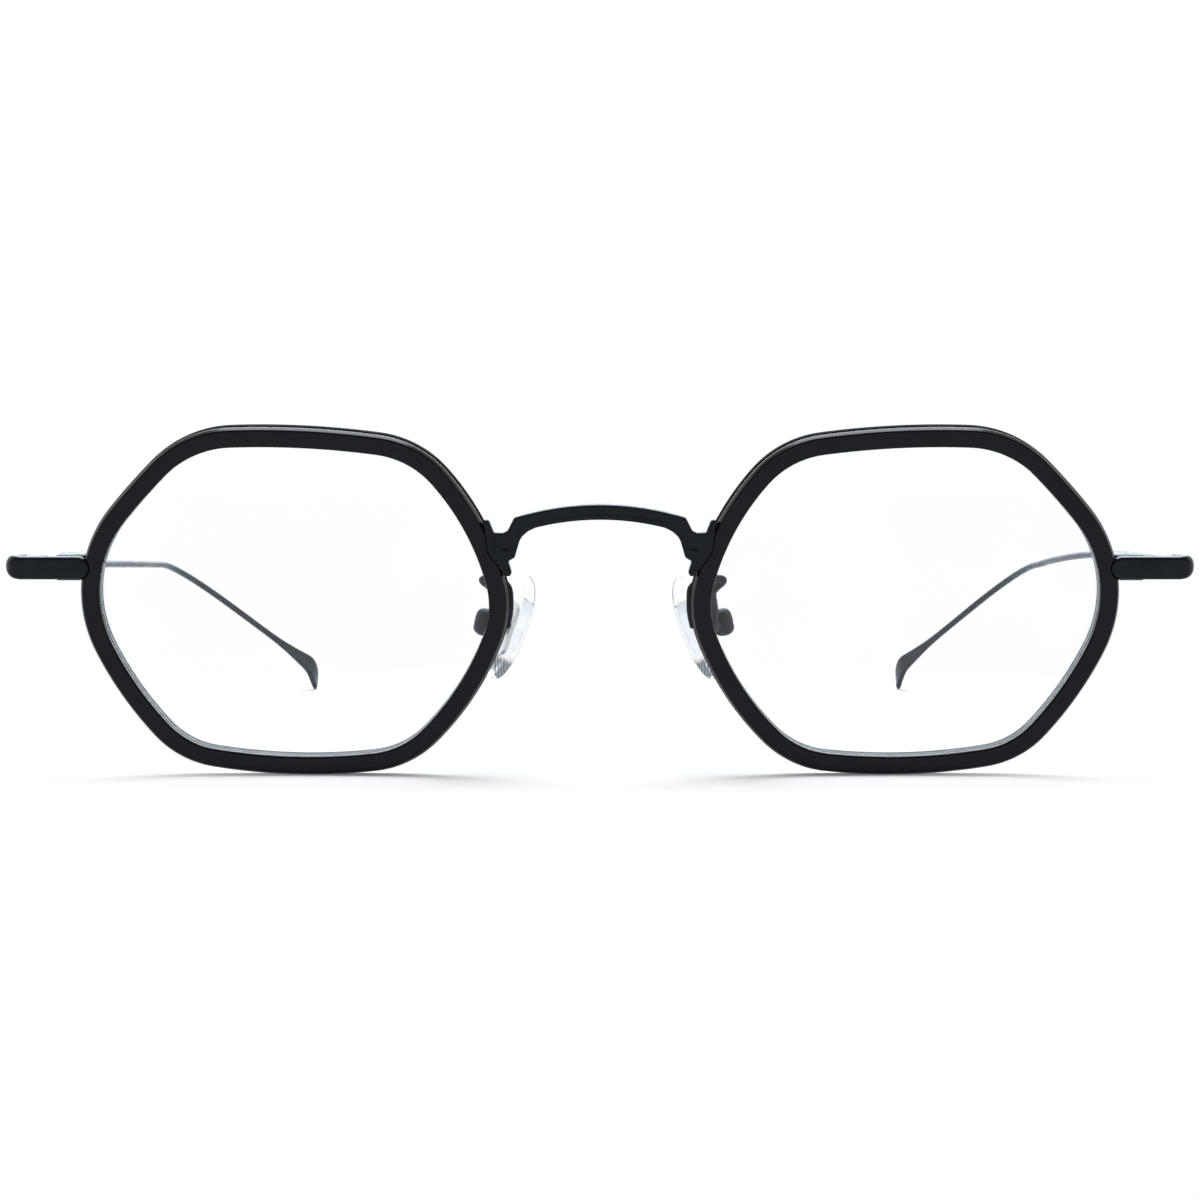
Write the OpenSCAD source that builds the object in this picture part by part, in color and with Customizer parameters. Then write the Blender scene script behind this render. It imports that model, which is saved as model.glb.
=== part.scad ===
// Geometric eyeglasses: two six-sided acetate rims, each held in a thin metal eyewire,
// joined by a saddle bridge, with screw-closed rims, rocking nose pads and folding wire temples.
// X runs across the face, Y from the front to the temple tips, Z up from the table they rest on.
// Left and right are the sides as seen from the front; left is at negative X.

/* [Lenses] */
// Widest width of a lens
lens_w = 45.4; // [42:0.1:50]
// Height of a lens
lens_h = 36.9; // [34:0.1:41]
// Distance between the two lenses over the nose
lens_gap = 24.4; // [21:0.1:28]
// Thickness of a lens
lens_t = 1.3; // [1:0.05:1.4]
// Radius of the lens faces
lens_curve_r = 520; // [400:10:900]

/* [Lens outline] */
// Point at the temple: height, corner radius, radius of the side above
temple_point = [0.85, 13.9, 78.7]; // [-100:0.05:100]
// Upper corner toward the temple: out from the lens centre, below the lens top, corner radius, top side radius
upper_outer = [6.55, 0.1, 11.6, 98.9]; // [-100:0.05:100]
// Upper corner toward the nose: in from the lens centre, below the lens top, corner radius, radius of the side below
upper_inner = [8.25, 0.85, 10.5, 29.1]; // [-100:0.05:100]
// Point at the nose: depth below the lens centre, corner radius, radius of the side below
nose_point = [0.3, 10.05, 31.9]; // [-100:0.05:100]
// Lower corner toward the nose: in from the lens centre, above the lens bottom, corner radius, bottom side radius
lower_inner = [7.7, 0.3, 10, 67.4]; // [-100:0.05:100]
// Lower corner toward the temple: out from the lens centre, above the lens bottom, corner radius, side radius
lower_outer = [8.05, 0.75, 9.5, 39.6]; // [-100:0.05:100]

/* [Acetate rims] */
// Width of the rim's front face
rim_face_w = 2.1; // [1.9:0.05:2.6]
// Depth of the rim from front to back
rim_d = 3; // [2.8:0.1:3.6]
// How deep the lens edge sits in the rim
lens_seat = 0.5; // [0.3:0.05:0.7]
// Thickness of the front lip that covers the eyewire
rim_lip_t = 1.2; // [1.1:0.05:1.4]
// Rounding of the rim's edges
rim_edge_r = 0.2; // [0.1:0.05:0.25]
// Depth of the tongue that holds the rim in the eyewire
tongue_h = 0.3; // [0.2:0.05:0.35]

/* [Eyewires] */
// Thickness of the eyewire, measured in the plane of the lens
eyewire_t = 0.92; // [0.8:0.02:1.1]
// How far the eyewire stands out past the rim
eyewire_proud = 0.25; // [0.1:0.05:0.4]
// Gap where the eyewire is split
split_gap = 0.2; // [0.1:0.05:0.3]

/* [Bridge] */
// Height of the arch's top above the lens centre
arch_top = 11.1; // [10.6:0.1:12.5]
// How far the arch's ends lie below its top
arch_rise = 1.5; // [1:0.1:2]
// Thickness of the arch, top to bottom
arch_t = 1.55; // [1.3:0.05:1.9]
// Depth of the arch, front to back
arch_d = 1.8; // [1.4:0.1:2.2]
// How far the arch stands in front of the rims
arch_proud = 0.3; // [0.1:0.05:0.6]
// Rounding of the solder plates' corners
plate_corner_r = 0.3; // [0.15:0.05:0.4]
// Gap round a metal piece that sits in a pocket of the rim
pocket_gap = 0.12; // [0.08:0.02:0.2]

/* [Endpieces] */
// Overall width of the front
front_w = 136; // [133:0.5:140]
// Height of the endpiece bar above the lens centre
bar_up = 4.05; // [3.5:0.05:5.5]
// Height of the endpiece bar, top to bottom
bar_h = 2.6; // [2.4:0.1:3.2]
// Thickness of the endpiece bar
bar_t = 1.3; // [1.1:0.05:1.6]
// How far the bar stands in front of the rim
bar_proud = 0.1; // [0:0.05:0.4]
// How deep the bar's round end is let into the rim
bar_let_in = 0.6; // [0.4:0.05:0.8]
// Radius of the bend where the bar turns back, along its middle
bar_bend_r = 1.25; // [1:0.05:1.6]
// Distance from the front face of the rim back to the hinge
hinge_back = 7.2; // [6.4:0.1:10]

/* [Closing blocks] */
// Height of the pair of closing blocks
block_h = 2.9; // [2.6:0.1:4]
// How far the middle of the pair, where it is split, lies below the middle of the bar
block_drop = 0.15; // [0:0.05:0.4]
// How far the blocks stand out from the eyewire at the height of the bar
block_w = 3.1; // [2.9:0.1:4]
// Depth of the blocks, front to back
block_d = 2.6; // [2.4:0.1:3.2]
// Diameter of the rim screw
rim_screw_d = 1; // [0.8:0.05:1.2]
// Diameter of the rim screw's head
rim_screw_head_d = 1.7; // [1.5:0.1:2]
// Height of the rim screw's head
rim_screw_head_h = 0.5; // [0.4:0.05:0.7]

/* [Hinges] */
// Diameter of the knuckles
knuckle_d = 2.1; // [1.9:0.05:2.4]
// Height of the hinge, all three knuckles
hinge_h = 2.1; // [2:0.1:3]
// Height of the middle knuckle
middle_h = 0.9; // [0.7:0.05:1.2]
// Running gap between two knuckles
knuckle_gap = 0.05; // [0.03:0.01:0.1]
// Diameter of the hinge screw
hinge_screw_d = 1; // [0.8:0.05:1.1]
// Running gap round the hinge screw
screw_gap = 0.03; // [0.02:0.01:0.06]
// Diameter of the hinge screw's head
hinge_screw_head_d = 1.5; // [1.4:0.05:1.7]
// Height of the hinge screw's head
hinge_screw_head_h = 0.35; // [0.25:0.05:0.5]
// Gap between the endpiece and the open temple
butt_gap = 0.15; // [0.1:0.05:0.3]
// Gap between the front knuckles and the folding temple
fold_gap = 0.3; // [0.2:0.05:0.4]

/* [Temples] */
// Distance from the hinge straight back to the temple's tip
temple_reach = 131; // [125:1:140]
// Distance from the hinge back to the start of the ear bend
bend_start = 90; // [80:1:95]
// Length over which the ear bend turns, measured straight back
bend_length = 23.5; // [15:0.5:30]
// How far the left temple's tip leans in from the hinge
left_tip_inset = 21.2; // [15:0.1:23]
// How far the right temple's tip leans in from the hinge
right_tip_inset = 18.9; // [15:0.1:23]
// How far the temple has come in where the ear bend starts
wire_inset = 1.3; // [0:0.1:3]
// How far the temple has come down where the ear bend starts
wire_fall = 2.4; // [0.5:0.1:3.5]
// Diameter of the temple wire
wire_d = 0.95; // [0.9:0.05:1.2]
// Upward bow of the right temple half way along its wire
right_bow = 1.4; // [1:0.1:2.5]
// Upward bow of the left temple half way along its wire
left_bow = 0.1; // [-0.5:0.1:0.5]
// Thickness of the temple's front end
temple_end_t = 1.2; // [1.1:0.05:1.3]
// Height of the temple's front end
temple_end_h = 2.3; // [2:0.1:2.6]
// Length over which the front end tapers to the wire
temple_end_l = 8; // [6:0.5:12]
// Width of the paddle at the tip
paddle_w = 3.1; // [2.8:0.1:4.5]
// Thickness of the paddle
paddle_t = 0.9; // [0.8:0.05:1.1]
// Length over which the wire widens to the paddle
paddle_l = 14; // [12:1:25]
// Length of the paddle's rounded end
paddle_round = 1.6; // [1:0.1:2.5]
// How far the paddle's end turns down
tip_drop = 1.8; // [0:0.1:3]
// Length over which the paddle's end turns down
tip_drop_l = 4.5; // [3:0.5:10]

/* [Nose pads] */
// Length of a nose pad
pad_l = 13; // [11:0.5:15]
// Width of a nose pad
pad_w = 7.6; // [6.5:0.1:8.5]
// Thickness of a nose pad at its middle
pad_t = 2.3; // [2:0.1:2.8]
// Lean of a nose pad in the front view
pad_lean = 14; // [8:1:20]
// Turn of a nose pad in the top view
pad_splay = 28; // [20:1:35]
// How far the pads are rocked down on their screws at rest
pad_rest_rock = 6; // [0:1:8]
// How far both pads have been bent toward the right
pad_shift = 0.45; // [0:0.05:0.6]
// Pad screw: distance from the nose line, behind the rim's front, below the lens centre
pad_pivot = [14.05, 10.2, 4.05]; // [3:0.05:15]
// Outer size of the pad box: thickness, width, height
pad_box = [2.3, 2.2, 3.2]; // [2:0.1:4]
// Wall of the pad box
pad_box_wall = 0.45; // [0.35:0.05:0.5]
// Diameter of the pad screw
pad_screw_d = 0.8; // [0.7:0.05:0.9]
// Diameter of the pad arm's wire
arm_d = 0.95; // [0.8:0.05:1]

/* [Stance] */
// Lean of the front: its top stands further forward than its bottom
front_lean = 8; // [5:0.5:12]
// Gap between two soldered or seated pieces
seat_gap = 0.02; // [0.01:0.01:0.05]
// Play of the lens edge across its groove, which takes up the lens's curve
groove_play = 0.3; // [0.25:0.05:0.4]

/* [Hidden] */
$fn = 48;

// How far the straight stretches that make up the lens outline may lie inside its arcs
arc_sag = 0.02;
// A length that reaches well past any piece, for cutting
past = lens_w / 2;
full_circle = 360;
// Share of the depth behind the lip that the tongue takes, and the lens's play in its groove
tongue_share = 0.28;
lens_play = 0.05;

rim_out = rim_face_w - lens_seat;
eyewire_out = rim_out + eyewire_proud;
eyewire_in = eyewire_out - eyewire_t;
eyewire_front = rim_lip_t + seat_gap;
tongue_front = rim_lip_t + (1 - tongue_share) / 2 * (rim_d - rim_lip_t);
tongue_back = rim_lip_t + (1 + tongue_share) / 2 * (rim_d - rim_lip_t);
groove_front = tongue_back - lens_t - groove_play;
lens_cx = lens_gap / 2 + lens_w / 2;

// The lens outline, counter-clockwise from the temple point
corners = [
    [lens_w / 2 - temple_point[1], temple_point[0], temple_point[1]],
    [upper_outer[0], lens_h / 2 - upper_outer[1] - upper_outer[2], upper_outer[2]],
    [-upper_inner[0], lens_h / 2 - upper_inner[1] - upper_inner[2], upper_inner[2]],
    [nose_point[1] - lens_w / 2, -nose_point[0], nose_point[1]],
    [-lower_inner[0], lower_inner[1] + lower_inner[2] - lens_h / 2, lower_inner[2]],
    [lower_outer[0], lower_outer[1] + lower_outer[2] - lens_h / 2, lower_outer[2]]
];
side_r = [temple_point[2], upper_outer[3], upper_inner[3], nose_point[2], lower_inner[3], lower_outer[3]];
sides = len(corners);

function flat(c) = [c[0], c[1]];
function angle_of(v) = atan2(v[1], v[0]);
function turn(a, b) = (b - a + 2 * full_circle) % full_circle;
function arc(c, r, off, a, sweep, first, last) =
    let (n = ceil(sweep / (2 * acos(1 - arc_sag / r))))
    [for (i = [first:n - last]) c + (r + off) * [cos(a + sweep * i / n), sin(a + sweep * i / n)]];

// Centre of the large arc that touches two corner circles from outside
function side_centre(a, b, r) =
    let (
        gap = flat(b) - flat(a),
        d = norm(gap),
        ra = r - a[2],
        rb = r - b[2],
        along = (ra * ra - rb * rb + d * d) / (2 * d),
        across = sqrt(ra * ra - along * along)
    )
    flat(a) + gap / d * along + [-gap[1], gap[0]] / d * across;

centres = [for (i = [0:sides - 1]) side_centre(corners[i], corners[(i + 1) % sides], side_r[i])];
arrive = [for (i = [0:sides - 1]) angle_of(flat(corners[i]) - centres[(i + sides - 1) % sides])];
leave = [for (i = [0:sides - 1]) angle_of(flat(corners[i]) - centres[i])];

// Points of the lens outline moved outward by an offset
function outline(off) = [
    for (i = [0:sides - 1])
        let (next = (i + 1) % sides)
        each concat(
            arc(flat(corners[i]), corners[i][2], off, arrive[i], turn(arrive[i], leave[i]), 0, 0),
            arc(centres[i], side_r[i], off, leave[i], turn(leave[i], arrive[next]), 1, 1)
        )
];

// Height of the lens centre over the table, with the eyewire resting on it
outline_low = -min([for (p = outline(0)) p[1]]);
outline_high = max([for (p = outline(0)) p[1]]);
centre_z = (outline_low + eyewire_out) * cos(front_lean) - eyewire_front * sin(front_lean);

// How far out an outline reaches at a given height
function reach_at(points, h) = max([
    for (i = [0:len(points) - 1])
        let (p = points[i], q = points[(i + 1) % len(points)])
        if ((p[1] - h) * (q[1] - h) <= 0 && p[1] != q[1])
            p[0] + (q[0] - p[0]) * (h - p[1]) / (q[1] - p[1])
]);

bar_in_x = lens_cx + reach_at(outline(rim_out), bar_up) - bar_let_in;
bar_v = bar_t / 2 - bar_proud;
bar_back = bar_t - bar_proud;
block_in_x = lens_cx + reach_at(outline(eyewire_out), bar_up);
block_front = bar_back + seat_gap;
block_up = bar_up - block_drop;

// Depth of the whole pair, from the top of the rims to the temple tips
front_reach = (outline_high + rim_out) * sin(front_lean);
hinge_y0 = hinge_back - bar_up * sin(front_lean);
front_y = (front_reach - hinge_y0 - butt_gap - temple_reach) / 2;
hinge_y = front_y + hinge_y0;
hinge_z = centre_z + bar_up * cos(front_lean) + (bar_v + bar_bend_r) * sin(front_lean);
leg_in_x = front_w / 2 - bar_t;
temple_x = front_w / 2 - temple_end_t / 2;
temple_in_x = front_w / 2 - temple_end_t;
hinge_x = temple_in_x - fold_gap - knuckle_d / 2;

module on_side(side) {
    if (side > 0) {
        children();
    } else {
        mirror([1, 0, 0]) children();
    }
}

// Places pieces of the front: X across, Y back from the rim's front face, Z up from the lens centre
module front_frame() {
    translate([0, front_y, centre_z]) rotate([front_lean, 0, 0]) children();
}

// The same placing, for a single point
function front_point(p) = [
    p[0],
    front_y + p[1] * cos(front_lean) - p[2] * sin(front_lean),
    centre_z + p[1] * sin(front_lean) + p[2] * cos(front_lean)
];

// Gives a front view outline a depth
module between(front, back) {
    translate([0, back, 0]) rotate([90, 0, 0]) linear_extrude(back - front) children();
}

module lens_shape(off) {
    translate([lens_cx, 0]) polygon(outline(off));
}

// Closed skin through a list of rings, each with the same number of points, ends capped
module skin(rings) {
    n = len(rings[0]);
    m = len(rings);
    walls = [
        for (i = [0:m - 2])
            for (j = [0:n - 1])
                [i * n + j, i * n + (j + 1) % n, (i + 1) * n + (j + 1) % n, (i + 1) * n + j]
    ];
    ends = [[for (j = [n - 1:-1:0]) j], [for (j = [0:n - 1]) (m - 1) * n + j]];
    polyhedron([for (r = rings) each r], concat(walls, ends));
}

function unit(v) = v / norm(v);
function mix(a, b, t) = a + (b - a) * t;
function ease(t) = let (s = max(0, min(1, t))) s * s * (3 - 2 * s);

// Ring of a rounded rectangle round a centre, spanned by two unit directions
function block_ring(c, wide, high, half_w, half_h, r) = [
    for (q = [0:3])
        let (sx = (q == 0 || q == 3) ? 1 : -1, sy = q < 2 ? 1 : -1)
        for (k = [0:2])
            let (a = 90 * q + 45 * k)
            c + wide * (sx * (half_w - r) + r * cos(a)) + high * (sy * (half_h - r) + r * sin(a))
];

// Ring of an ellipse with a given number of points
function round_ring(c, wide, high, half_w, half_h, n) = [
    for (k = [0:n - 1])
        let (a = full_circle * k / n)
        c + wide * (half_w * cos(a)) + high * (half_h * sin(a))
];

// Rings along a path, each square to the path. They are turned toward a direction that the path never takes,
// so that they don't twist.
function rings_along(path, r, n, beside) = [
    for (i = [0:len(path) - 1])
        let (
            t = unit(path[min(i + 1, len(path) - 1)] - path[max(i - 1, 0)]),
            wide = unit(cross(t, beside)),
            high = cross(wide, t)
        )
        round_ring(path[i], wide, high, r, r, n)
];

// Smooth curve through hand-chosen points
function curve(pts, steps) = [
    for (i = [0:len(pts) - 2])
        let (
            a = pts[max(i - 1, 0)],
            b = pts[i],
            c = pts[i + 1],
            d = pts[min(i + 2, len(pts) - 1)]
        )
        for (k = [0:(i == len(pts) - 2 ? steps : steps - 1)])
            let (t = k / steps)
            (2 * b + (c - a) * t + (2 * a - 5 * b + 4 * c - d) * t * t + (3 * b - a - 3 * c + d) * t * t * t) / 2
];

// The arch ends this far in from the nose line; its lower edge is flatter and ends sooner
arch_end_in = 2.46;
under_flatter = 3;
under_sooner = 2.4;
// Corners of the right solder plate, out from the nose line and up from the arch's end:
// the dip beside the arch, the tip over the rim, the side in the rim, the folded lobe, the inside
plate_dip = [[-1.7, -1.25], [-1.15, -1.5], [-0.12, -1.45]];
plate_tip = [[0.45, 0], [1.15, 0], [0.95, -0.85]];
plate_side = [[0.65, -3.6], [0.1, -4.45]];
plate_lobe = [[-1.35, -6.35], [-1.85, -6.55], [-2.15, -6.1], [-1.75, -4.75]];
plate_inside = [[-2.5, -4.3], [-3.05, -2.4], [-3.35, -1.85], [-4, -1.25]];
plate_set_back = 0.05;

nose_x = lens_gap / 2;
arch_end_x = nose_x - arch_end_in;
arch_end_z = arch_top - arch_rise;
arch_r = (arch_end_x * arch_end_x + arch_rise * arch_rise) / (2 * arch_rise);
arch_half = asin(arch_end_x / arch_r);
arch_steps = 10;
under_r = arch_r + under_flatter;
under_half = asin((arch_end_x - under_sooner) / under_r);

// Points of a flat arc from the middle of the bridge outward
function arch_arc(top, r, half, i) = [r * sin(half * i / arch_steps), top - r * (1 - cos(half * i / arch_steps))];

// Front view outline of the right half, from the top of the arch outward and back under it
half_bridge = concat(
    [for (i = [0:arch_steps]) arch_arc(arch_top, arch_r, arch_half, i)],
    [for (p = concat(plate_dip, plate_tip, plate_side, plate_lobe, plate_inside)) [nose_x + p[0], arch_end_z + p[1]]],
    [for (i = [arch_steps:-1:0]) arch_arc(arch_top - arch_t, under_r, under_half, i)]
);

module bridge_shape(off) {
    offset(r = off) offset(r = -plate_corner_r) offset(delta = 2 * plate_corner_r) offset(r = -plate_corner_r) {
        polygon(half_bridge);
        mirror([1, 0]) polygon(half_bridge);
        translate([-arch_t / 2, arch_top - arch_t]) square([arch_t, arch_t - plate_set_back]);
    }
}

module bridge() {
    color("#1d1f23") front_frame() {
        between(plate_set_back, rim_lip_t - seat_gap / 2) bridge_shape(0);
        between(-arch_proud, arch_d - arch_proud) intersection() {
            bridge_shape(0);
            translate([-arch_end_x, arch_end_z + plate_dip[0][1]]) square([2 * arch_end_x, past]);
        }
    }
}

// Slot in the front lip of the rim for the endpiece bar
module bar_shape(off) {
    r = bar_h / 2 + off;
    translate([bar_in_x + bar_h / 2, bar_up]) {
        circle(r);
        translate([0, -r]) square([past, 2 * r]);
    }
}

// The rim's rounding is cut in two steps: how deep each one ends and how far in the second one lies
step_1 = 0.6 * rim_edge_r;
step_2 = 1.8 * rim_edge_r;
step_in = 0.3 * rim_edge_r;

// Layers of the rim from front to back: front, back, inner edge, outer edge
rim_layers = [
    [0, step_1, rim_edge_r - lens_seat, rim_out - rim_edge_r],
    [step_1, step_2, step_in - lens_seat, rim_out - step_in],
    [step_2, groove_front, -lens_seat, rim_out],
    [groove_front, rim_lip_t, lens_play, rim_out],
    [rim_lip_t, tongue_front, lens_play, eyewire_in - seat_gap],
    [tongue_front, tongue_back, lens_play, eyewire_in - seat_gap + tongue_h],
    [tongue_back, rim_d - step_1, -lens_seat, eyewire_in - seat_gap],
    [rim_d - step_1, rim_d, rim_edge_r - lens_seat, eyewire_in - seat_gap]
];

module rim(side) {
    color("#202226") on_side(side) front_frame()
        for (layer = rim_layers)
            between(layer[0], layer[1]) difference() {
                lens_shape(layer[3]);
                lens_shape(layer[2]);
                if (layer[1] <= rim_lip_t) {
                    bar_shape(pocket_gap);
                    bridge_shape(pocket_gap);
                }
            }
}

eyewire_edge = 0.12;
eyewire_layers = [
    [eyewire_front, eyewire_front + eyewire_edge, eyewire_in, eyewire_out - eyewire_edge],
    [eyewire_front + eyewire_edge, tongue_front - seat_gap, eyewire_in, eyewire_out],
    [tongue_front - seat_gap, tongue_back + seat_gap, eyewire_in + tongue_h, eyewire_out],
    [tongue_back + seat_gap, rim_d - eyewire_edge, eyewire_in, eyewire_out],
    [rim_d - eyewire_edge, rim_d, eyewire_in, eyewire_out - eyewire_edge]
];

module eyewire(side) {
    color("#15161a") on_side(side) front_frame()
        for (layer = eyewire_layers)
            between(layer[0], layer[1]) difference() {
                lens_shape(layer[3]);
                lens_shape(layer[2]);
                translate([lens_cx, block_up - split_gap / 2]) square([past + lens_w, split_gap]);
            }
}

// Half thickness line of the lens: how far its face falls back at a distance from the lens centre
function fall(r) = lens_curve_r - sqrt(lens_curve_r * lens_curve_r - r * r);
lens_mid = (groove_front + tongue_back) / 2;
lens_edge_r = (lens_w + lens_h) / 4;
lens_top_v = lens_mid - fall(lens_edge_r) - lens_t / 2;
// The lens is cut from a round blank, whose faces are drawn with this many steps
blank_r = 0.7 * lens_w;
face_steps = 8;
face_r = [for (i = [0:face_steps]) blank_r * i / face_steps];

module lens(side) {
    color("#dfe6ea", 0.25) on_side(side) front_frame() intersection() {
        between(0, rim_d) lens_shape(0);
        translate([lens_cx, lens_top_v, 0]) rotate([-90, 0, 0]) rotate_extrude() polygon(concat(
            [for (r = face_r) [r, fall(r)]],
            [for (i = [face_steps:-1:0]) [face_r[i], fall(face_r[i]) + lens_t]]
        ));
    }
}

// The bar comes in from its round end, bends back and runs to the hinge
bar_up_dir = [0, -sin(front_lean), cos(front_lean)];
bar_back_dir = [0, cos(front_lean), sin(front_lean)];
bar_round = 0.3;
leg_round = 0.6;
bar_corner = front_point([front_w / 2 - bar_t / 2 - bar_bend_r, bar_v, bar_up]) + bar_bend_r * bar_back_dir;
bar_start = front_point([bar_in_x, bar_v, bar_up]);

function bar_end_ring(e) =
    let (h = sqrt(e * (bar_h - e)), r = min(bar_round, h * 0.45))
    block_ring(bar_start + [e, 0, 0], bar_back_dir, bar_up_dir, bar_t / 2, h, r);

function bar_bend_ring(a) =
    let (
        lean = front_lean * (1 - a / 90),
        back = [0, cos(lean), sin(lean)],
        wide = [-sin(a), 0, 0] + cos(a) * back,
        high = [0, -sin(lean), cos(lean)]
    )
    block_ring(
        bar_corner + bar_bend_r * ([sin(a), 0, 0] - cos(a) * back),
        wide, high, bar_t / 2, bar_h / 2, mix(bar_round, leg_round, a / 90)
    );

module endpiece(side) {
    color("#1d1f23") on_side(side) skin(concat(
        [for (a = [10:16:90]) bar_end_ring(bar_h / 2 * (1 - cos(a)))],
        [for (a = [0:15:90]) bar_bend_ring(a)],
        [block_ring(
            [front_w / 2 - bar_t / 2, hinge_y, hinge_z],
            [-1, 0, 0], [0, 0, 1], bar_t / 2, bar_h / 2, leg_round
        )]
    ));
}

// Metal left over a rim screw's end, and the slot in every screw head: share of the head's width, depth
screw_cover = 0.4;
slot_share = 0.14;
slot_depth = 0.2;
screw_x = block_in_x + block_w / 2;
screw_v = block_front + block_d / 2;

// Slot cut down into a screw head whose top is at zero
module screw_slot(head_d) {
    slot_w = slot_share * head_d;
    translate([-head_d, -slot_w / 2, -slot_depth]) cube([2 * head_d, slot_w, 2 * slot_depth]);
}

module closing_block(side, low, high) {
    color("#17181c") on_side(side) front_frame() difference() {
        between(block_front, block_front + block_d) difference() {
            translate([lens_cx, block_up + low]) square([block_in_x + block_w - lens_cx, high - low]);
            lens_shape(eyewire_out + seat_gap);
        }
        translate([screw_x, screw_v, block_up - block_h / 2 - slot_depth])
            cylinder(d = rim_screw_d + 2 * seat_gap, h = block_h + slot_depth - screw_cover);
        translate([screw_x, screw_v, block_up - block_h / 2 - slot_depth])
            cylinder(d = rim_screw_head_d + 4 * seat_gap, h = rim_screw_head_h + slot_depth);
    }
}

module rim_screw(side) {
    low = block_up - block_h / 2;
    color("#2a2c31") on_side(side) front_frame() translate([screw_x, screw_v, low]) difference() {
        union() {
            cylinder(d = rim_screw_head_d, h = rim_screw_head_h - seat_gap);
            cylinder(d = rim_screw_d, h = block_h - screw_cover - seat_gap);
        }
        mirror([0, 0, 1]) screw_slot(rim_screw_head_d);
    }
}

// Places a piece at the middle of the hinge pin
module at_hinge() {
    translate([hinge_x, hinge_y, hinge_z]) children();
}

leaf_l = 2.6;
leaf_in = 0.3;

module front_hinge(side) {
    color("#17181c") on_side(side) at_hinge() difference() {
        union() {
            translate([0, 0, -hinge_h / 2]) cylinder(d = knuckle_d, h = hinge_h);
            translate([-leaf_in, -leaf_l, -hinge_h / 2])
                cube([leg_in_x - hinge_x - seat_gap + leaf_in, leaf_l, hinge_h]);
        }
        translate([0, 0, -middle_h / 2 - knuckle_gap])
            cylinder(r = knuckle_d / 2 + fold_gap, h = middle_h + 2 * knuckle_gap);
        translate([0, 0, -hinge_h]) cylinder(d = hinge_screw_d + 2 * screw_gap, h = 2 * hinge_h);
        translate([0, 0, hinge_h / 2 - hinge_screw_head_h])
            cylinder(d = hinge_screw_head_d + 2 * screw_gap, h = hinge_h);
    }
}

module hinge_screw(side) {
    color("#3a3c42") on_side(side) at_hinge() difference() {
        union() {
            translate([0, 0, -hinge_h / 2]) cylinder(d = hinge_screw_d, h = hinge_h);
            translate([0, 0, hinge_h / 2 - hinge_screw_head_h + seat_gap])
                cylinder(d = hinge_screw_head_d, h = hinge_screw_head_h - seat_gap);
        }
        translate([0, 0, hinge_h / 2]) screw_slot(hinge_screw_head_d);
    }
}

module temple_hinge(side) {
    color("#17181c") on_side(side) at_hinge() difference() {
        union() {
            translate([0, 0, -middle_h / 2]) cylinder(d = knuckle_d, h = middle_h);
            translate([-leaf_in, butt_gap, -middle_h / 2])
                cube([temple_in_x - hinge_x - seat_gap + leaf_in, leaf_l, middle_h]);
        }
        translate([0, 0, -hinge_h]) cylinder(d = hinge_screw_d + 2 * screw_gap, h = 2 * hinge_h);
    }
}

// Centre line of a temple, by distance straight back from its front end
function wire_in(d) = wire_inset * max(0, d - leaf_l) / (bend_start - leaf_l);
bend_total = temple_reach - bend_start - bend_length / 2;
function bend_share(d) =
    let (e = max(0, d - bend_start))
    (e < bend_length ? e * e / (2 * bend_length) : e - bend_length / 2) / bend_total;
function wire_z(d, bow) =
    let (t = min(1, d / bend_start))
    hinge_z - wire_fall * d / bend_start + 4 * bow * t * (1 - t);
function temple_point_at(d, bow, inset, tip_z) =
    let (
        g = bend_share(d),
        end_z = hinge_z - wire_fall * temple_reach / bend_start,
        turn_down = max(0, 1 - (temple_reach - d) / tip_drop_l)
    )
    [
        temple_x - wire_in(d) - (inset - wire_in(temple_reach)) * g,
        hinge_y + butt_gap + d,
        wire_z(d, bow) - (end_z - tip_z) * g - tip_drop * turn_down * turn_down
    ];

// Width, thickness and edge radius along the temple: front end, wire, paddle with a round end.
// The last ring keeps a small share of the paddle's size so that it doesn't close to a point.
blunt_share = 0.06;
thin_share = 0.6;
end_edge_r = 0.25;
edge_share = 0.95;
function flare(d) = ease((d - temple_reach + paddle_l) / paddle_l);
function end_size(d) =
    let (left = min(1, (temple_reach - d) / paddle_round))
    max(blunt_share, sqrt(1 - (1 - left) * (1 - left)));
function temple_half_h(d) =
    mix(mix(temple_end_h, wire_d, ease(d / temple_end_l)), paddle_w, flare(d) * flare(d)) / 2 * end_size(d);
function temple_half_w(d) =
    mix(mix(temple_end_t, wire_d, ease(d / temple_end_l)), paddle_t, flare(d)) / 2 * mix(thin_share, 1, end_size(d));
function temple_edge_r(d) =
    mix(end_edge_r, edge_share * min(temple_half_h(d), temple_half_w(d)), ease(d / temple_end_l));

// Distances along the temple at which its rings stand, closer together where it bends or changes width
function stops(a, b, n) = [for (i = [1:n]) mix(a, b, i / n)];
temple_stops = concat(
    [0],
    stops(0, temple_end_l, 4),
    stops(temple_end_l, bend_start, 6),
    stops(bend_start, bend_start + bend_length, 8),
    stops(bend_start + bend_length, temple_reach - tip_drop_l, 6),
    stops(temple_reach - tip_drop_l, temple_reach - paddle_round, 4),
    [for (a = [15:15:90]) temple_reach - paddle_round * (1 - sin(a))]
);

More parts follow.
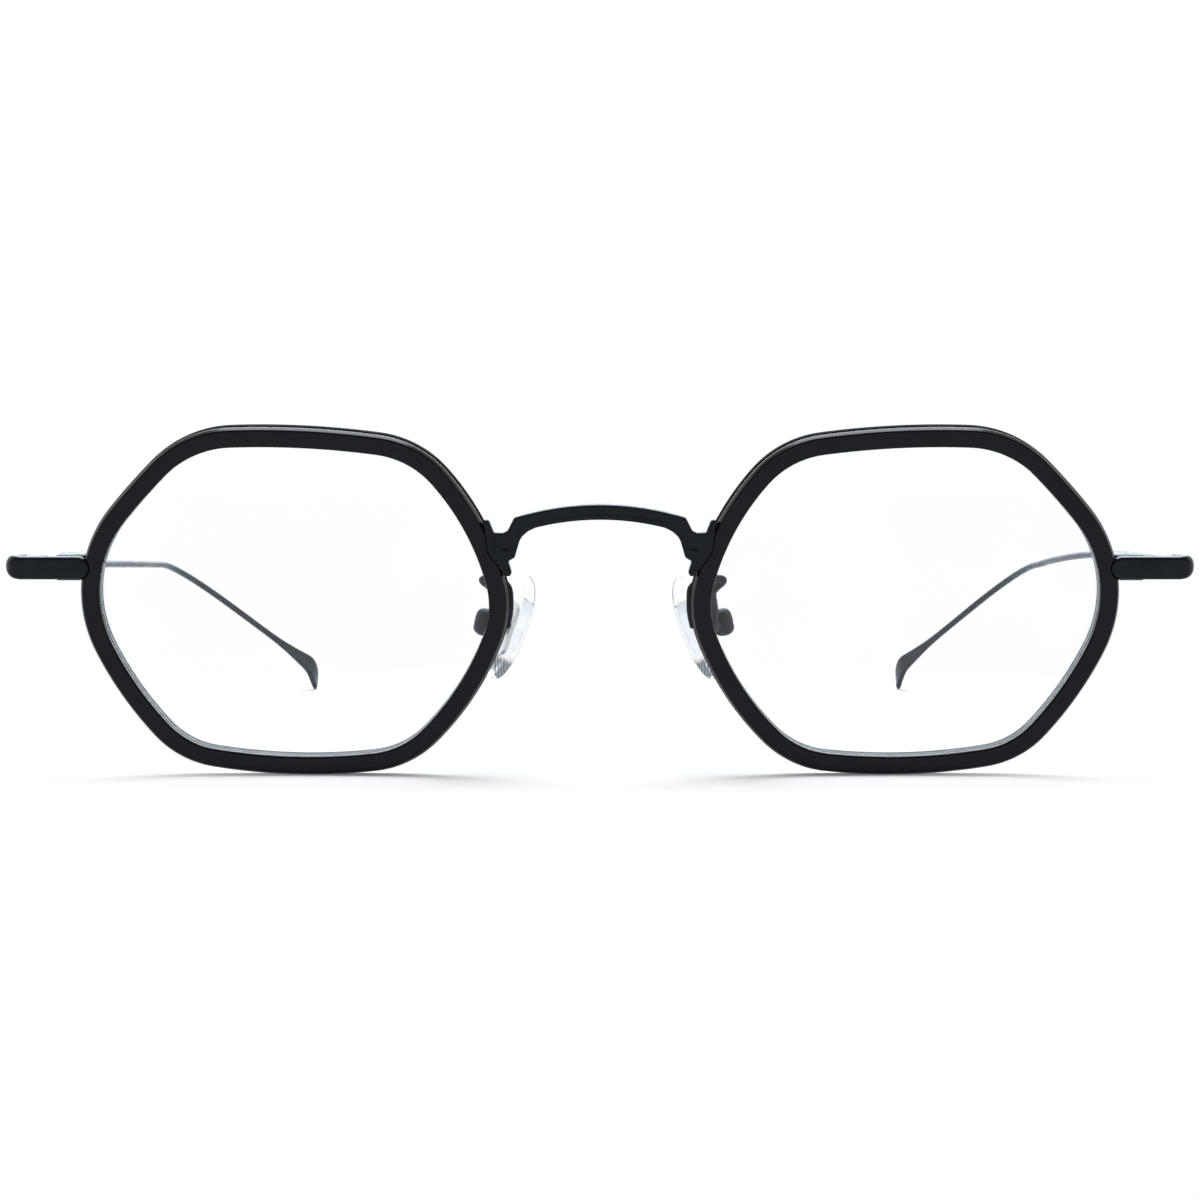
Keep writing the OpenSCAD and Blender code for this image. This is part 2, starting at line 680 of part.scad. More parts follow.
function temple_rings(bow, inset, tip_z) =
    let (path = [for (d = temple_stops) temple_point_at(d, bow, inset, tip_z)], m = len(path))
    [
        for (i = [0:m - 1])
            let (
                along = unit(path[min(i + 1, m - 1)] - path[max(i - 1, 0)]),
                t = i == 0 ? [0, 1, 0] : along,
                wide = unit(cross(t, [0, 0, 1])),
                high = cross(wide, t),
                d = temple_stops[i]
            )
            block_ring(path[i], wide, high, temple_half_w(d), temple_half_h(d), temple_edge_r(d))
    ];

function lowest(rings) = min([for (r = rings) for (p = r) p[2]]);

module temple(side) {
    bow = side > 0 ? right_bow : left_bow;
    inset = side > 0 ? right_tip_inset : left_tip_inset;
    guess = paddle_w / 2 + tip_drop;
    first = guess - lowest(temple_rings(bow, inset, guess));
    tip_z = first - lowest(temple_rings(bow, inset, first));
    color("#26282d") on_side(side) skin(temple_rings(bow, inset, tip_z));
}

// Distance of a pad screw from the nose line, with both pads bent toward the right
function pad_x(side) = pad_pivot[0] + side * pad_shift;

// Turns a point of the pad box's own frame into the front's frame: X toward the temple, Y back, Z up
function pad_point(side, p) =
    let (
        x = p[0] * cos(pad_splay) + p[1] * sin(pad_splay),
        y = p[1] * cos(pad_splay) - p[0] * sin(pad_splay)
    )
    [
        pad_x(side) + x * cos(pad_lean) - p[2] * sin(pad_lean),
        pad_pivot[1] + y,
        x * sin(pad_lean) + p[2] * cos(pad_lean) - pad_pivot[2]
    ];

module pad_frame(side) {
    on_side(side) front_frame() translate([pad_x(side), pad_pivot[1], -pad_pivot[2]])
        rotate([0, -pad_lean, 0]) rotate([0, 0, -pad_splay]) children();
}

arm_r = arm_d / 2;
arm_v = rim_d + arm_r + seat_gap;
arm_in = 1.4;

// Stops of a pad arm, by distance from the nose line, depth and height: the foot soldered up the back
// of the eyewire, the loop over toward the lens, and the way down to the box
function arm_stops(side) =
    let (bent = side * pad_shift)
    [
        [nose_x - 1.37, arm_v, -3.3],
        [nose_x - 1.7, arm_v + 0.01, -1.6],
        [nose_x - 1.75, arm_v + 0.06, 0],
        [nose_x - 1.5, arm_v + 0.65, 1.2],
        [nose_x - 0.2 + bent / 2, arm_v + 1.5, 1.9],
        [nose_x + 1.75 + 0.75 * bent, arm_v + 2.1, 1.8],
        [nose_x + 0.5 + bent, arm_v + 2.8, 0.3],
        [nose_x + 0.7 + bent, arm_v + 3.7, -1.9],
        pad_point(side, [0, -pad_box[1] / 2 - arm_in, 0]),
        pad_point(side, [0, -pad_box[1] / 2 - arm_in / 2, 0]),
        pad_point(side, [0, -pad_box[1] / 2 - 3 * seat_gap, 0])
    ];

module pad_arm(side) {
    path = [for (p = curve(arm_stops(side), 4)) front_point(p)];
    color("#2a2c31") on_side(side) skin(rings_along(path, arm_r, 8, [1, -1, 0]));
}

// The box's side walls, which hold the screw, are a little thicker than its others
pad_side_wall = pad_box_wall + 0.05;
pad_slot = pad_box[1] - 2 * pad_side_wall;
pad_play = 0.12;
pad_screw_in = 0.3;
pad_screw_head_d = pad_screw_d + 0.6;
pad_screw_head_h = 0.35;

module pad_box_body(side) {
    color("#33363b") pad_frame(side) difference() {
        translate(-pad_box / 2) cube(pad_box);
        translate([-pad_box[0], -pad_slot / 2, pad_box_wall - pad_box[2] / 2])
            cube([1.5 * pad_box[0] - pad_box_wall, pad_slot, pad_box[2] - 2 * pad_box_wall]);
        translate([0, -pad_slot / 2 - pad_screw_in - 3 * seat_gap, 0]) rotate([-90, 0, 0])
            cylinder(d = pad_screw_d + 2 * seat_gap, h = pad_box[1]);
    }
}

module pad_screw(side) {
    color("#3a3c42") pad_frame(side) rotate([-90, 0, 0]) difference() {
        union() {
            translate([0, 0, -pad_slot / 2 - pad_screw_in])
                cylinder(d = pad_screw_d, h = pad_box[1] / 2 + pad_slot / 2 + pad_screw_in + 2 * seat_gap);
            translate([0, 0, pad_box[1] / 2 + seat_gap]) cylinder(d = pad_screw_head_d, h = pad_screw_head_h);
        }
        translate([0, 0, pad_box[1] / 2 + seat_gap + pad_screw_head_h]) screw_slot(pad_screw_head_d);
    }
}

// Distance from the pad screw to the pad's middle, and the insert in it: plate, and the tab in the box
pad_mid = 3.2;
plate_w = 3.2;
plate_l = 7;
plate_t = 0.5;
tab_h = 1.3;

module plate_shape(off) {
    for (s = [-1, 1]) translate([0, s * (plate_l - plate_w) / 2]) circle(plate_w / 2 + off);
    square([plate_w + 2 * off, plate_l - plate_w], center = true);
}

module insert_solid(off) {
    translate([-pad_mid - plate_t / 2 - off, 0, 0]) rotate([0, 90, 0]) rotate([0, 0, 90])
        linear_extrude(plate_t + 2 * off) plate_shape(off);
    translate([-pad_mid, -pad_slot / 2 + pad_play - off, -tab_h / 2 - off])
        cube([pad_mid, pad_slot - 2 * pad_play + 2 * off, tab_h + 2 * off]);
}

// Rocks the insert and the pad on the pad screw
module rocked() {
    rotate([0, -pad_rest_rock, 0]) children();
}

module pad_insert(side) {
    color("#b9bcc0") pad_frame(side) rocked() difference() {
        union() {
            insert_solid(0);
            rotate([-90, 0, 0]) translate([0, 0, -pad_slot / 2 + pad_play])
                cylinder(d = tab_h, h = pad_slot - 2 * pad_play);
        }
        rotate([-90, 0, 0]) translate([0, 0, -past / 2])
            cylinder(d = pad_screw_d + 2 * screw_gap, h = past);
    }
}

// Silicone pad: ovals stacked through its thickness, smaller toward each face.
// Each has its place as a share of the half thickness and its size as a share of the full oval.
pad_slices = [[1, 0.74], [0.86, 0.9], [0.55, 0.99], [0.1, 1], [-0.35, 0.95], [-0.7, 0.83], [-0.92, 0.62], [-1, 0.4]];
pad_sides = 24;

module nose_pad(side) {
    color("#f2f5f7", 0.6) pad_frame(side) rocked() difference() {
        skin([
            for (slice = pad_slices)
                round_ring(
                    [-pad_mid + slice[0] * pad_t / 2, 0, 0], [0, 1, 0], [0, 0, 1],
                    slice[1] * pad_w / 2, slice[1] * pad_l / 2, pad_sides
                )
        ]);
        insert_solid(seat_gap);
    }
}

bridge();
rim(-1);  // left_rim
rim(1);  // right_rim
eyewire(-1);  // left_eyewire
eyewire(1);  // right_eyewire
lens(-1);  // left_lens
lens(1);  // right_lens
endpiece(-1);  // left_endpiece
endpiece(1);  // right_endpiece
closing_block(-1, split_gap / 2, block_h / 2);  // left_upper_closing_block
closing_block(1, split_gap / 2, block_h / 2);  // right_upper_closing_block
closing_block(-1, -block_h / 2, -split_gap / 2);  // left_lower_closing_block
closing_block(1, -block_h / 2, -split_gap / 2);  // right_lower_closing_block
rim_screw(-1);  // left_rim_screw
rim_screw(1);  // right_rim_screw
front_hinge(-1);  // left_front_hinge
front_hinge(1);  // right_front_hinge
hinge_screw(-1);  // left_hinge_screw
hinge_screw(1);  // right_hinge_screw
temple_hinge(-1);  // left_temple_hinge
temple_hinge(1);  // right_temple_hinge
temple(-1);  // left_temple
temple(1);  // right_temple
pad_arm(-1);  // left_pad_arm
pad_arm(1);  // right_pad_arm
pad_box_body(-1);  // left_pad_box
pad_box_body(1);  // right_pad_box
pad_screw(-1);  // left_pad_screw
pad_screw(1);  // right_pad_screw
pad_insert(-1);  // left_pad_insert
pad_insert(1);  // right_pad_insert
nose_pad(-1);  // left_nose_pad
nose_pad(1);  // right_nose_pad
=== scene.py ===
# %% [markdown]
# # Geometric eyeglasses
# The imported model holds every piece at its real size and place, and its joints. Here each
# visible piece gets its finished surface. Flat-sided CAD solids become smooth ones, worked
# out with numpy in millimetres and put into meshes in metres, in the same frame as the CAD.

import bmesh
import bpy
import numpy as np
from mathutils.geometry import delaunay_2d_cdt
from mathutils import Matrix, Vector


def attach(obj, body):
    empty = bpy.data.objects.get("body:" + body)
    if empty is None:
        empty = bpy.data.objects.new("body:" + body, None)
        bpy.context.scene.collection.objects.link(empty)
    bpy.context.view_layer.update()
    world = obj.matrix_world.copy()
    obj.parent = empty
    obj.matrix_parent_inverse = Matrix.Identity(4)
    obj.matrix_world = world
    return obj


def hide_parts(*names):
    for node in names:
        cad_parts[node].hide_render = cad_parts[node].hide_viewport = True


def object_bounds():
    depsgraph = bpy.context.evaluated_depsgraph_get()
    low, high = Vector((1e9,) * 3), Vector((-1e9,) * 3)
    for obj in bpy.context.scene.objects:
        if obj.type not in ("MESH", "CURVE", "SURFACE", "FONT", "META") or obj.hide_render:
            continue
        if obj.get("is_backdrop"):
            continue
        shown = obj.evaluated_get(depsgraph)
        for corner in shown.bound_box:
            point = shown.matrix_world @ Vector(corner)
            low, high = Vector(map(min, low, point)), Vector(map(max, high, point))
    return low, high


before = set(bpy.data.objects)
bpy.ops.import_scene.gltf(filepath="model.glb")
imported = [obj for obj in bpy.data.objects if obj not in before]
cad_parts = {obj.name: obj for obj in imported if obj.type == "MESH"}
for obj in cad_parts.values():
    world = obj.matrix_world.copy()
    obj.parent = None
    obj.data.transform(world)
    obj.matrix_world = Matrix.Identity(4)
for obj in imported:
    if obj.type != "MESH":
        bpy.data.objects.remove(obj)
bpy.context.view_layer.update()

# %% [markdown]
# ## Sizes
# These repeat the model's own sizes, because a surface that replaces a solid has to lie
# where the solid does. The front leans: its top stands forward of its bottom. So pieces of
# the front are worked out upright, as x across, v back from the rim's face and w up from
# the lens centre, and then turned by that lean.

# %% Sizes in millimetres
MM = 0.001
LEAN = np.radians(8.0)
FRONT_Y = -67.5015
CENTRE_Z = 19.9609

LENS_W, LENS_H, LENS_GAP = 45.4, 36.9, 24.4
LENS_X = (LENS_GAP + LENS_W) / 2
NOSE_X = LENS_GAP / 2

RIM_D, LIP_T, LENS_SEAT = 3.0, 1.2, 0.5
TONGUE_FRONT, TONGUE_BACK, TONGUE_H = 1.848, 2.352, 0.3
GROOVE_FRONT = 0.752
WIRE_OUT, WIRE_IN, WIRE_FRONT = 1.85, 0.93, 1.22

BAR_UP, BAR_H, BAR_T, BAR_PROUD, BAR_BEND = 4.05, 2.6, 1.3, 0.1, 1.25
BAR_IN_X = 58.2486
FRONT_W = 136.0
HINGE = np.array([65.45, -60.8651, 24.222])
SIDES = ((-1, "left"), (1, "right"))


def front_to_world(points):
    """Turns (x, v, w) by the lean about X: y = front + v cos - w sin, z = centre + v sin + w cos."""
    x, v, w = np.moveaxis(np.asarray(points, float), -1, 0)
    y = FRONT_Y + v * np.cos(LEAN) - w * np.sin(LEAN)
    z = CENTRE_Z + v * np.sin(LEAN) + w * np.cos(LEAN)
    return np.stack([x, y, z], -1)


print("lens centre, mm:", front_to_world([LENS_X, 0, 0]).round(2))

# %% [markdown]
# ## Camera
# The photograph was taken from straight ahead, about 300 mm in front of the rims, a little
# above the lenses and tipped down by about two degrees. That short distance is why the
# temples seem to run inward and why the inner walls of the rims show on the temple sides.

# %% Camera
FOCAL_PIXELS, PICTURE_PIXELS, SENSOR = 2631.0, 1200.0, 36.0
CAMERA_PLACE, CAMERA_TIP = (0.0, -0.367562, 0.0326), 2.335


def placed(name, data):
    """Shows some data as a new object of the scene."""
    thing = bpy.data.objects.new(name, data)
    bpy.context.scene.collection.objects.link(thing)
    return thing


camera_data = bpy.data.cameras.new("studio_camera")
camera_data.sensor_width = SENSOR
camera_data.lens = FOCAL_PIXELS / PICTURE_PIXELS * SENSOR
camera_data.clip_start = 0.01
camera_data.clip_end = 50.0
camera = placed("studio_camera", camera_data)
camera.location = CAMERA_PLACE
camera.rotation_euler = (np.radians(90.0 - CAMERA_TIP), 0.0, 0.0)
bpy.context.scene.camera = camera
print("camera:", round(camera_data.lens, 2), "mm lens at", CAMERA_PLACE)

# %% [markdown]
# ## Mesh helpers
# Almost every piece is a grid of points: rows along a path or an outline, columns round a
# section. The same few helpers turn such a grid into a closed mesh, merge its doubled
# points, turn its faces outward and mark its edges sharp where they meet at an angle.

# %% Mesh helpers


def grid_faces(rows, cols, closed=False):
    """Quads of a grid whose rows go round: each joins a point, the next in its row, and the two behind."""
    r, c = np.meshgrid(np.arange(rows if closed else rows - 1), np.arange(cols), indexing="ij")
    r2, c2 = (r + 1) % rows, (c + 1) % cols
    quads = np.stack([r * cols + c, r * cols + c2, r2 * cols + c2, r2 * cols + c], -1)
    return quads.reshape(-1, 4).tolist()


def finish_mesh(mesh, sharp):
    """Merges doubled points, turns the faces outward and marks edges sharper than an angle."""
    bm = bmesh.new()
    bm.from_mesh(mesh)
    bmesh.ops.remove_doubles(bm, verts=bm.verts, dist=1e-7)
    bmesh.ops.recalc_face_normals(bm, faces=bm.faces)
    bm.to_mesh(mesh)
    bm.free()
    mesh.shade_smooth()
    mesh.set_sharp_from_angle(angle=np.radians(sharp))


def solid(name, points, faces, sharp=35.0):
    """Makes an object from points in millimetres, shared frame, and closed faces."""
    mesh = bpy.data.meshes.new(name)
    mesh.from_pydata((np.asarray(points, float).reshape(-1, 3) * MM).tolist(), [], faces)
    finish_mesh(mesh, sharp)
    return placed(name, mesh)


def tube(name, rings, sharp=35.0):
    """Joins rings of equal length into a skin and closes both ends with a flat face."""
    rings = np.asarray(rings, float)
    n, m = rings.shape[:2]
    faces = grid_faces(n, m)
    faces += [list(range(m)), list(range((n - 1) * m, n * m))]
    return solid(name, rings, faces, sharp)


def mirrored(points, side):
    """The left pieces are the right ones with x turned over."""
    return np.asarray(points, float) * [side, 1.0, 1.0]


def coat(piece, material):
    """Gives a piece its one finish."""
    piece.data.materials.clear()
    piece.data.materials.append(material)


def dress(piece, material, body, slot_name, *nodes):
    """Gives a piece its finish, ties it to a body and hides the CAD nodes it stands for."""
    coat(piece, material)
    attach(piece, body)
    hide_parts(*nodes)


def unit(vectors):
    """The same directions at length one."""
    return vectors / np.linalg.norm(vectors, axis=-1, keepdims=True)


def ease(t):
    """Smooth step: 3t^2 - 2t^3 between 0 and 1."""
    t = np.clip(t, 0.0, 1.0)
    return t * t * (3.0 - 2.0 * t)


def mix(a, b, t):
    """Straight mix: a at 0, b at 1."""
    return a + (b - a) * t


def rounded_rectangle(half_w, half_h, radius, steps, outer):
    """Offsets (across, up) of a rectangle: corners are quarter ellipses, the outer two of another size."""
    sizes = map(np.atleast_1d, (half_w, half_h, radius, *(outer or (radius, radius))))
    half_w, half_h, radius, outer_w, outer_h = (s[:, None] for s in np.broadcast_arrays(*sizes))
    a = np.radians(np.concatenate([np.linspace(90 * q, 90 * q + 90, steps + 1) for q in range(4)]))
    sx, sy = (np.repeat(signs, steps + 1) for signs in ([1, -1, -1, 1], [1, 1, -1, -1]))
    corner_w, corner_h = np.where(sx > 0, outer_w, radius), np.where(sx > 0, outer_h, radius)
    return sx * (half_w - corner_w) + corner_w * np.cos(a), sy * (half_h - corner_h) + corner_h * np.sin(a)


def rounded_corners(corners, radii, steps):
    """A closed outline whose corners are replaced by circle arcs that touch both sides."""
    p = np.asarray(corners, float)
    out = []
    for before, here, after, r in zip(np.roll(p, 1, 0), p, np.roll(p, -1, 0), radii):
        a, b = unit(before - here), unit(after - here)
        if r <= 0:
            out.append(here[None])
            continue
        half = np.arccos(np.clip(a @ b, -1, 1)) / 2
        room = 0.48 * min(np.linalg.norm(before - here), np.linalg.norm(after - here))
        reach = min(r / np.tan(half), room)
        r = reach * np.tan(half)
        centre = here + unit(a + b) * (r / np.sin(half))
        start, end = here + a * reach - centre, here + b * reach - centre
        t = np.linspace(0, 1, steps + 1)[:, None]
        swing = np.arccos(np.clip(unit(start) @ unit(end), -1, 1))
        out.append(centre + (np.sin((1 - t) * swing) * start + np.sin(t * swing) * end) / np.sin(swing))
    return np.concatenate(out)


print("helpers ready")

# %% [markdown]
# ## Finishes
# The rims are satin blue-black acetate. Under soft light such plastic shows a faint cloud of
# slightly different blacks and a fine polishing grain, so colour and roughness vary with two
# sizes of noise and a very small bump. The bridge and bars have a thin dark plating with
# fine brushing and a little gloss, and the eyewires the same black but matt. The lens edge
# is ground matt. The pads are clear. Low down on them a dark ribbed patch is painted into
# their colour, a painted refraction of the dark parts behind, which their own point attribute
# marks. All other patterns read Object coordinates.

# %% Finishes
WHITE = (1.0, 1.0, 1.0, 1.0)
COOL_GLOSS = (0.82, 0.91, 1.0, 1.0)


def fill(tree, node, values):
    """Fills inputs of a node by name or number: an output is linked to it, anything else is its value."""
    for key, value in values.items():
        if isinstance(value, bpy.types.NodeSocket):
            tree.links.new(value, node.inputs[key])
        else:
            node.inputs[key].default_value = value


def node_of(tree, kind, **settings):
    """A new node with some of its inputs and settings filled in."""
    node = tree.nodes.new(kind)
    for key, value in settings.items():
        if key in node.inputs:
            fill(tree, node, {key: value})
        else:
            setattr(node, key, value)
    return node


def combined(tree, operation, *pair):
    """Two numbers joined by a maths node: the greater of them or their product."""
    node = node_of(tree, "ShaderNodeMath", operation=operation)
    fill(tree, node, dict(enumerate(pair)))
    return node.outputs["Value"]


def blended(tree, *share_and_pair):
    """Two shaders mixed by a share: 0 shows the first and 1 the second."""
    node = tree.nodes.new("ShaderNodeMixShader")
    fill(tree, node, dict(enumerate(share_and_pair)))
    return node.outputs["Shader"]


def new_finish(name):
    """A material with its nodes, its main shader and its Object coordinates."""
    finish = bpy.data.materials.new(name)
    finish.use_nodes = True
    tree = finish.node_tree
    shader = tree.nodes["Principled BSDF"]
    place = tree.nodes.new("ShaderNodeTexCoord").outputs["Object"]
    return finish, tree, shader, place


def noise(tree, place, scale, detail, stretch=None):
    """Noise of a given scale per metre, stretched along an axis if asked."""
    if stretch is not None:
        place = node_of(tree, "ShaderNodeMapping", Scale=stretch, Vector=place).outputs["Vector"]
    return node_of(tree, "ShaderNodeTexNoise", Scale=scale, Detail=detail, Vector=place).outputs["Fac"]


def ramp(tree, source, *stops):
    """A colour ramp with two stops, each (place, colour)."""
    node = node_of(tree, "ShaderNodeValToRGB", Fac=source)
    for element, (at, colour) in zip(node.color_ramp.elements, stops):
        element.position = at
        element.color = (*colour, 1.0)
    return node.outputs["Color"]


def span(tree, source, low, high, at_low=0.3, at_high=0.7):
    """Maps a noise or another number straight to a range."""
    node = tree.nodes.new("ShaderNodeMapRange")
    ends = {"From Min": at_low, "From Max": at_high, "To Min": low, "To Max": high}
    fill(tree, node, {"Value": source, **ends})
    return node.outputs["Result"]


def bump(tree, source, height, strength):
    """A bump whose height is in metres."""
    node = node_of(tree, "ShaderNodeBump", Strength=strength, Distance=height, Height=source)
    return node.outputs["Normal"]


def satin_acetate(name, dark, light, rough):
    """Satin plastic: cloudy black, roughness from fine grain, a faint bump."""
    finish, tree, shader, place = new_finish(name)
    cloud = noise(tree, place, 180.0, 4.0)
    grain = noise(tree, place, 2600.0, 2.0)
    fill(tree, shader, {
        "Base Color": ramp(tree, cloud, (0.3, dark), (0.7, light)),
        "Roughness": span(tree, grain, rough - 0.03, rough + 0.04),
        "Normal": bump(tree, grain, 0.00002, 0.06), "IOR": 1.30, "Specular Tint": COOL_GLOSS,
    })
    return finish


def plated_metal(name, dark, light, rough, metallic, along=(1.0, 1.0, 1.0), shine=0.5):
    """Plated metal: fine brushing along an axis breaks up the gloss and the colour."""
    finish, tree, shader, place = new_finish(name)
    brushing = noise(tree, place, 900.0, 3.0, along)
    cloud = noise(tree, place, 260.0, 3.0)
    fill(tree, shader, {
        "Base Color": ramp(tree, cloud, (0.3, dark), (0.72, light)),
        "Roughness": span(tree, brushing, rough - 0.06, rough + 0.08),
        "Normal": bump(tree, brushing, 0.00002, 0.08), "Metallic": metallic,
        "IOR": 1.27, "Specular IOR Level": shine, "Specular Tint": COOL_GLOSS,
    })
    return finish


def clear_for_shadows(tree, shader, tint):
    """Lets light through to the table: shadow and diffuse rays pass a clear surface with a faint tint."""
    ray = tree.nodes.new("ShaderNodeLightPath").outputs
    passing = combined(tree, "MAXIMUM", ray["Is Shadow Ray"], ray["Is Diffuse Ray"])
    clear = node_of(tree, "ShaderNodeBsdfTransparent", Color=(*tint, 1.0))
    both = blended(tree, passing, shader.outputs["BSDF"], clear.outputs["BSDF"])
    fill(tree, tree.nodes["Material Output"], {"Surface": both})


def clear_lens(name):
    """Coated clear lens: almost no reflection, and a faint coating cloud in its roughness."""
    finish, tree, shader, place = new_finish(name)
    coating = noise(tree, place, 60.0, 2.0)
    fill(tree, shader, {
        "Base Color": ramp(tree, coating, (0.35, (0.985, 0.99, 1.0)), (0.65, WHITE[:3])),
        "Roughness": span(tree, coating, 0.0, 0.02),
        "Transmission Weight": 1.0, "IOR": 1.3, "Specular IOR Level": 0.15,
    })
    clear_for_shadows(tree, shader, (0.93, 0.94, 0.95))
    return finish


def clear_silicone(name):
    """Soft clear silicone, a little hazy, with faint moulding waves and a painted dark refraction, ribbed,
    low down.
    """
    finish, tree, shader, place = new_finish(name)
    haze = noise(tree, place, 700.0, 3.0)
    waves = noise(tree, place, 500.0, 1.0, (1.0, 1.0, 0.35))
    ribs = node_of(tree, "ShaderNodeTexWave", Scale=900.0, Distortion=2.5, Detail=2.0, Vector=place)
    # Painted refraction: a dark colour, broken into ribs, is mixed in low on the pad where the dark parts
    # behind show through it.
    painted_refraction = node_of(tree, "ShaderNodeAttribute", attribute_name="painted_refraction")
    ribbed = span(tree, ribs.outputs["Fac"], 0.88, 1.0, 0.15, 0.6)
    clear = ramp(tree, haze, (0.3, (0.95, 0.965, 0.985)), (0.7, WHITE[:3]))
    tint = node_of(tree, "ShaderNodeMix", data_type="RGBA")
    share = combined(tree, "MULTIPLY", painted_refraction.outputs["Fac"], ribbed)
    fill(tree, tint, {"Factor": share, 6: clear, 7: (0.02, 0.026, 0.036, 1.0)})
    fill(tree, shader, {
        "Base Color": tint.outputs[2], "Roughness": span(tree, haze, 0.03, 0.16),
        "Normal": bump(tree, waves, 0.0002, 0.35), "Transmission Weight": 1.0, "IOR": 1.22,
    })
    clear_for_shadows(tree, shader, (0.86, 0.88, 0.90))
    return finish


ground_edge = plated_metal("ground_edge", (0.60, 0.64, 0.68), (0.74, 0.78, 0.82), 0.6, 0.0)
rim_acetate = satin_acetate("rim_acetate", (0.0008, 0.0012, 0.0024), (0.0020, 0.0024, 0.0040), 0.22)
dark_plating = plated_metal("dark_plating", (0.0085, 0.0102, 0.0128), (0.0130, 0.0150, 0.0185), 0.24, 0.3)
matt_plating = plated_metal(
    "matt_plating", (0.0045, 0.0055, 0.0075), (0.0070, 0.0082, 0.0105), 0.62, 0.0, shine=0.03
)
wire_plating = plated_metal(
    "wire_plating", (0.021, 0.025, 0.032), (0.038, 0.044, 0.054), 0.32, 0.6, (1.0, 0.15, 1.0)
)
screw_steel = plated_metal("screw_steel", (0.10, 0.10, 0.11), (0.20, 0.20, 0.22), 0.30, 0.9)
pad_metal = plated_metal("pad_metal", (0.022, 0.026, 0.033), (0.036, 0.041, 0.050), 0.55, 0.4)
insert_metal = plated_metal("insert_metal", (0.62, 0.64, 0.67), (0.80, 0.81, 0.83), 0.3, 0.8)
lens_plastic = clear_lens("lens_plastic")
pad_silicone = clear_silicone("pad_silicone")
print("finishes:", [m.name for m in bpy.data.materials])

# %% [markdown]
# ## The lens outline
# Each rim follows one outline: six corner circles joined by six large arcs that touch them,
# so the sides bulge a little and nothing is quite straight. An offset of that outline is
# simply each point moved along its outward direction, which is how a lens, its groove, the
# acetate and the wire round it can share one curve.

# %% Lens outline
CORNERS = np.array([
    [8.80, 0.85, 13.90],
    [6.55, 6.75, 11.60],
    [-8.25, 7.10, 10.50],
    [-12.65, -0.30, 10.05],
    [-7.70, -8.15, 10.00],
    [8.05, -8.20, 9.50],
])
SIDE_RADII = np.array([78.7, 98.9, 29.1, 31.9, 67.4, 39.6])
OUTLINE_STEP = 0.4


def side_centres(corners, radii):
    """Centre of the large arc that touches two corner circles: as far from each as its radius less theirs."""
    a, b = corners, np.roll(corners, -1, 0)
    gap = b[:, :2] - a[:, :2]
    d = np.linalg.norm(gap, axis=1)
    ra, rb = radii - a[:, 2], radii - b[:, 2]
    along = (ra**2 - rb**2 + d**2) / (2 * d)
    across = np.sqrt(ra**2 - along**2)
    n = gap / d[:, None]
    return a[:, :2] + n * along[:, None] + np.stack([-n[:, 1], n[:, 0]], 1) * across[:, None]


def lens_outline():
    """Points and outward directions round the lens, counter-clockwise as seen from the front."""
    centres = side_centres(CORNERS, SIDE_RADII)
    angle = lambda v: np.arctan2(v[:, 1], v[:, 0])
    arrive = angle(CORNERS[:, :2] - np.roll(centres, 1, 0))
    leave = angle(CORNERS[:, :2] - centres)
    pieces = []
    for i in range(len(CORNERS)):
        for centre, r, a, b in (
            (CORNERS[i, :2], CORNERS[i, 2], arrive[i], leave[i]),
            (centres[i], SIDE_RADII[i], leave[i], arrive[(i + 1) % len(CORNERS)]),
        ):
            sweep = (b - a) % (2 * np.pi)
            steps = int(np.ceil(sweep * r / OUTLINE_STEP))
            t = a + sweep * np.arange(steps) / steps
            out = np.stack([np.cos(t), np.sin(t)], 1)
            pieces.append(np.concatenate([centre + r * out, out], 1))
    ring = np.concatenate(pieces)
    return ring[:, :2], ring[:, 2:]


EDGE, EDGE_OUT = lens_outline()
print("outline points:", len(EDGE), "width and height, mm:", np.ptp(EDGE, 0).round(2))


def ring_points(profile, edge=EDGE, out=EDGE_OUT):
    """Carries a section (offset out, depth) round the outline: point + outward * offset, at that depth."""
    profile = np.asarray(profile, float)
    flat = edge[:, None, :] + out[:, None, :] * profile[None, :, :1]
    depth = np.broadcast_to(profile[None, :, 1], flat.shape[:2])
    return np.stack([LENS_X + flat[..., 0], depth, flat[..., 1]], -1)


# %% [markdown]
# ## Acetate rims
# A rim is one section carried round the outline. The section has a thin lip in front that
# covers the wire, a groove inside for the lens and a small tongue outside that the wire's
# groove holds. The bridge and the bars are let into its front, so their outlines are cut
# into it afterwards with a Boolean, a little larger than the metal so that a dark line shows.

# %% Bridge outline
ARCH_TOP, ARCH_RISE, ARCH_T = 11.38, 1.5, 1.7
ARCH_X = NOSE_X - 2.46
ARCH_Z = 9.6
ARCH_R = (ARCH_X**2 + ARCH_RISE**2) / (2 * ARCH_RISE)
UNDER_R = ARCH_R - 2.5
UNDER_X = ARCH_X - 2.4
ARCH_POINTS, UNDER_POINTS = 24, 20


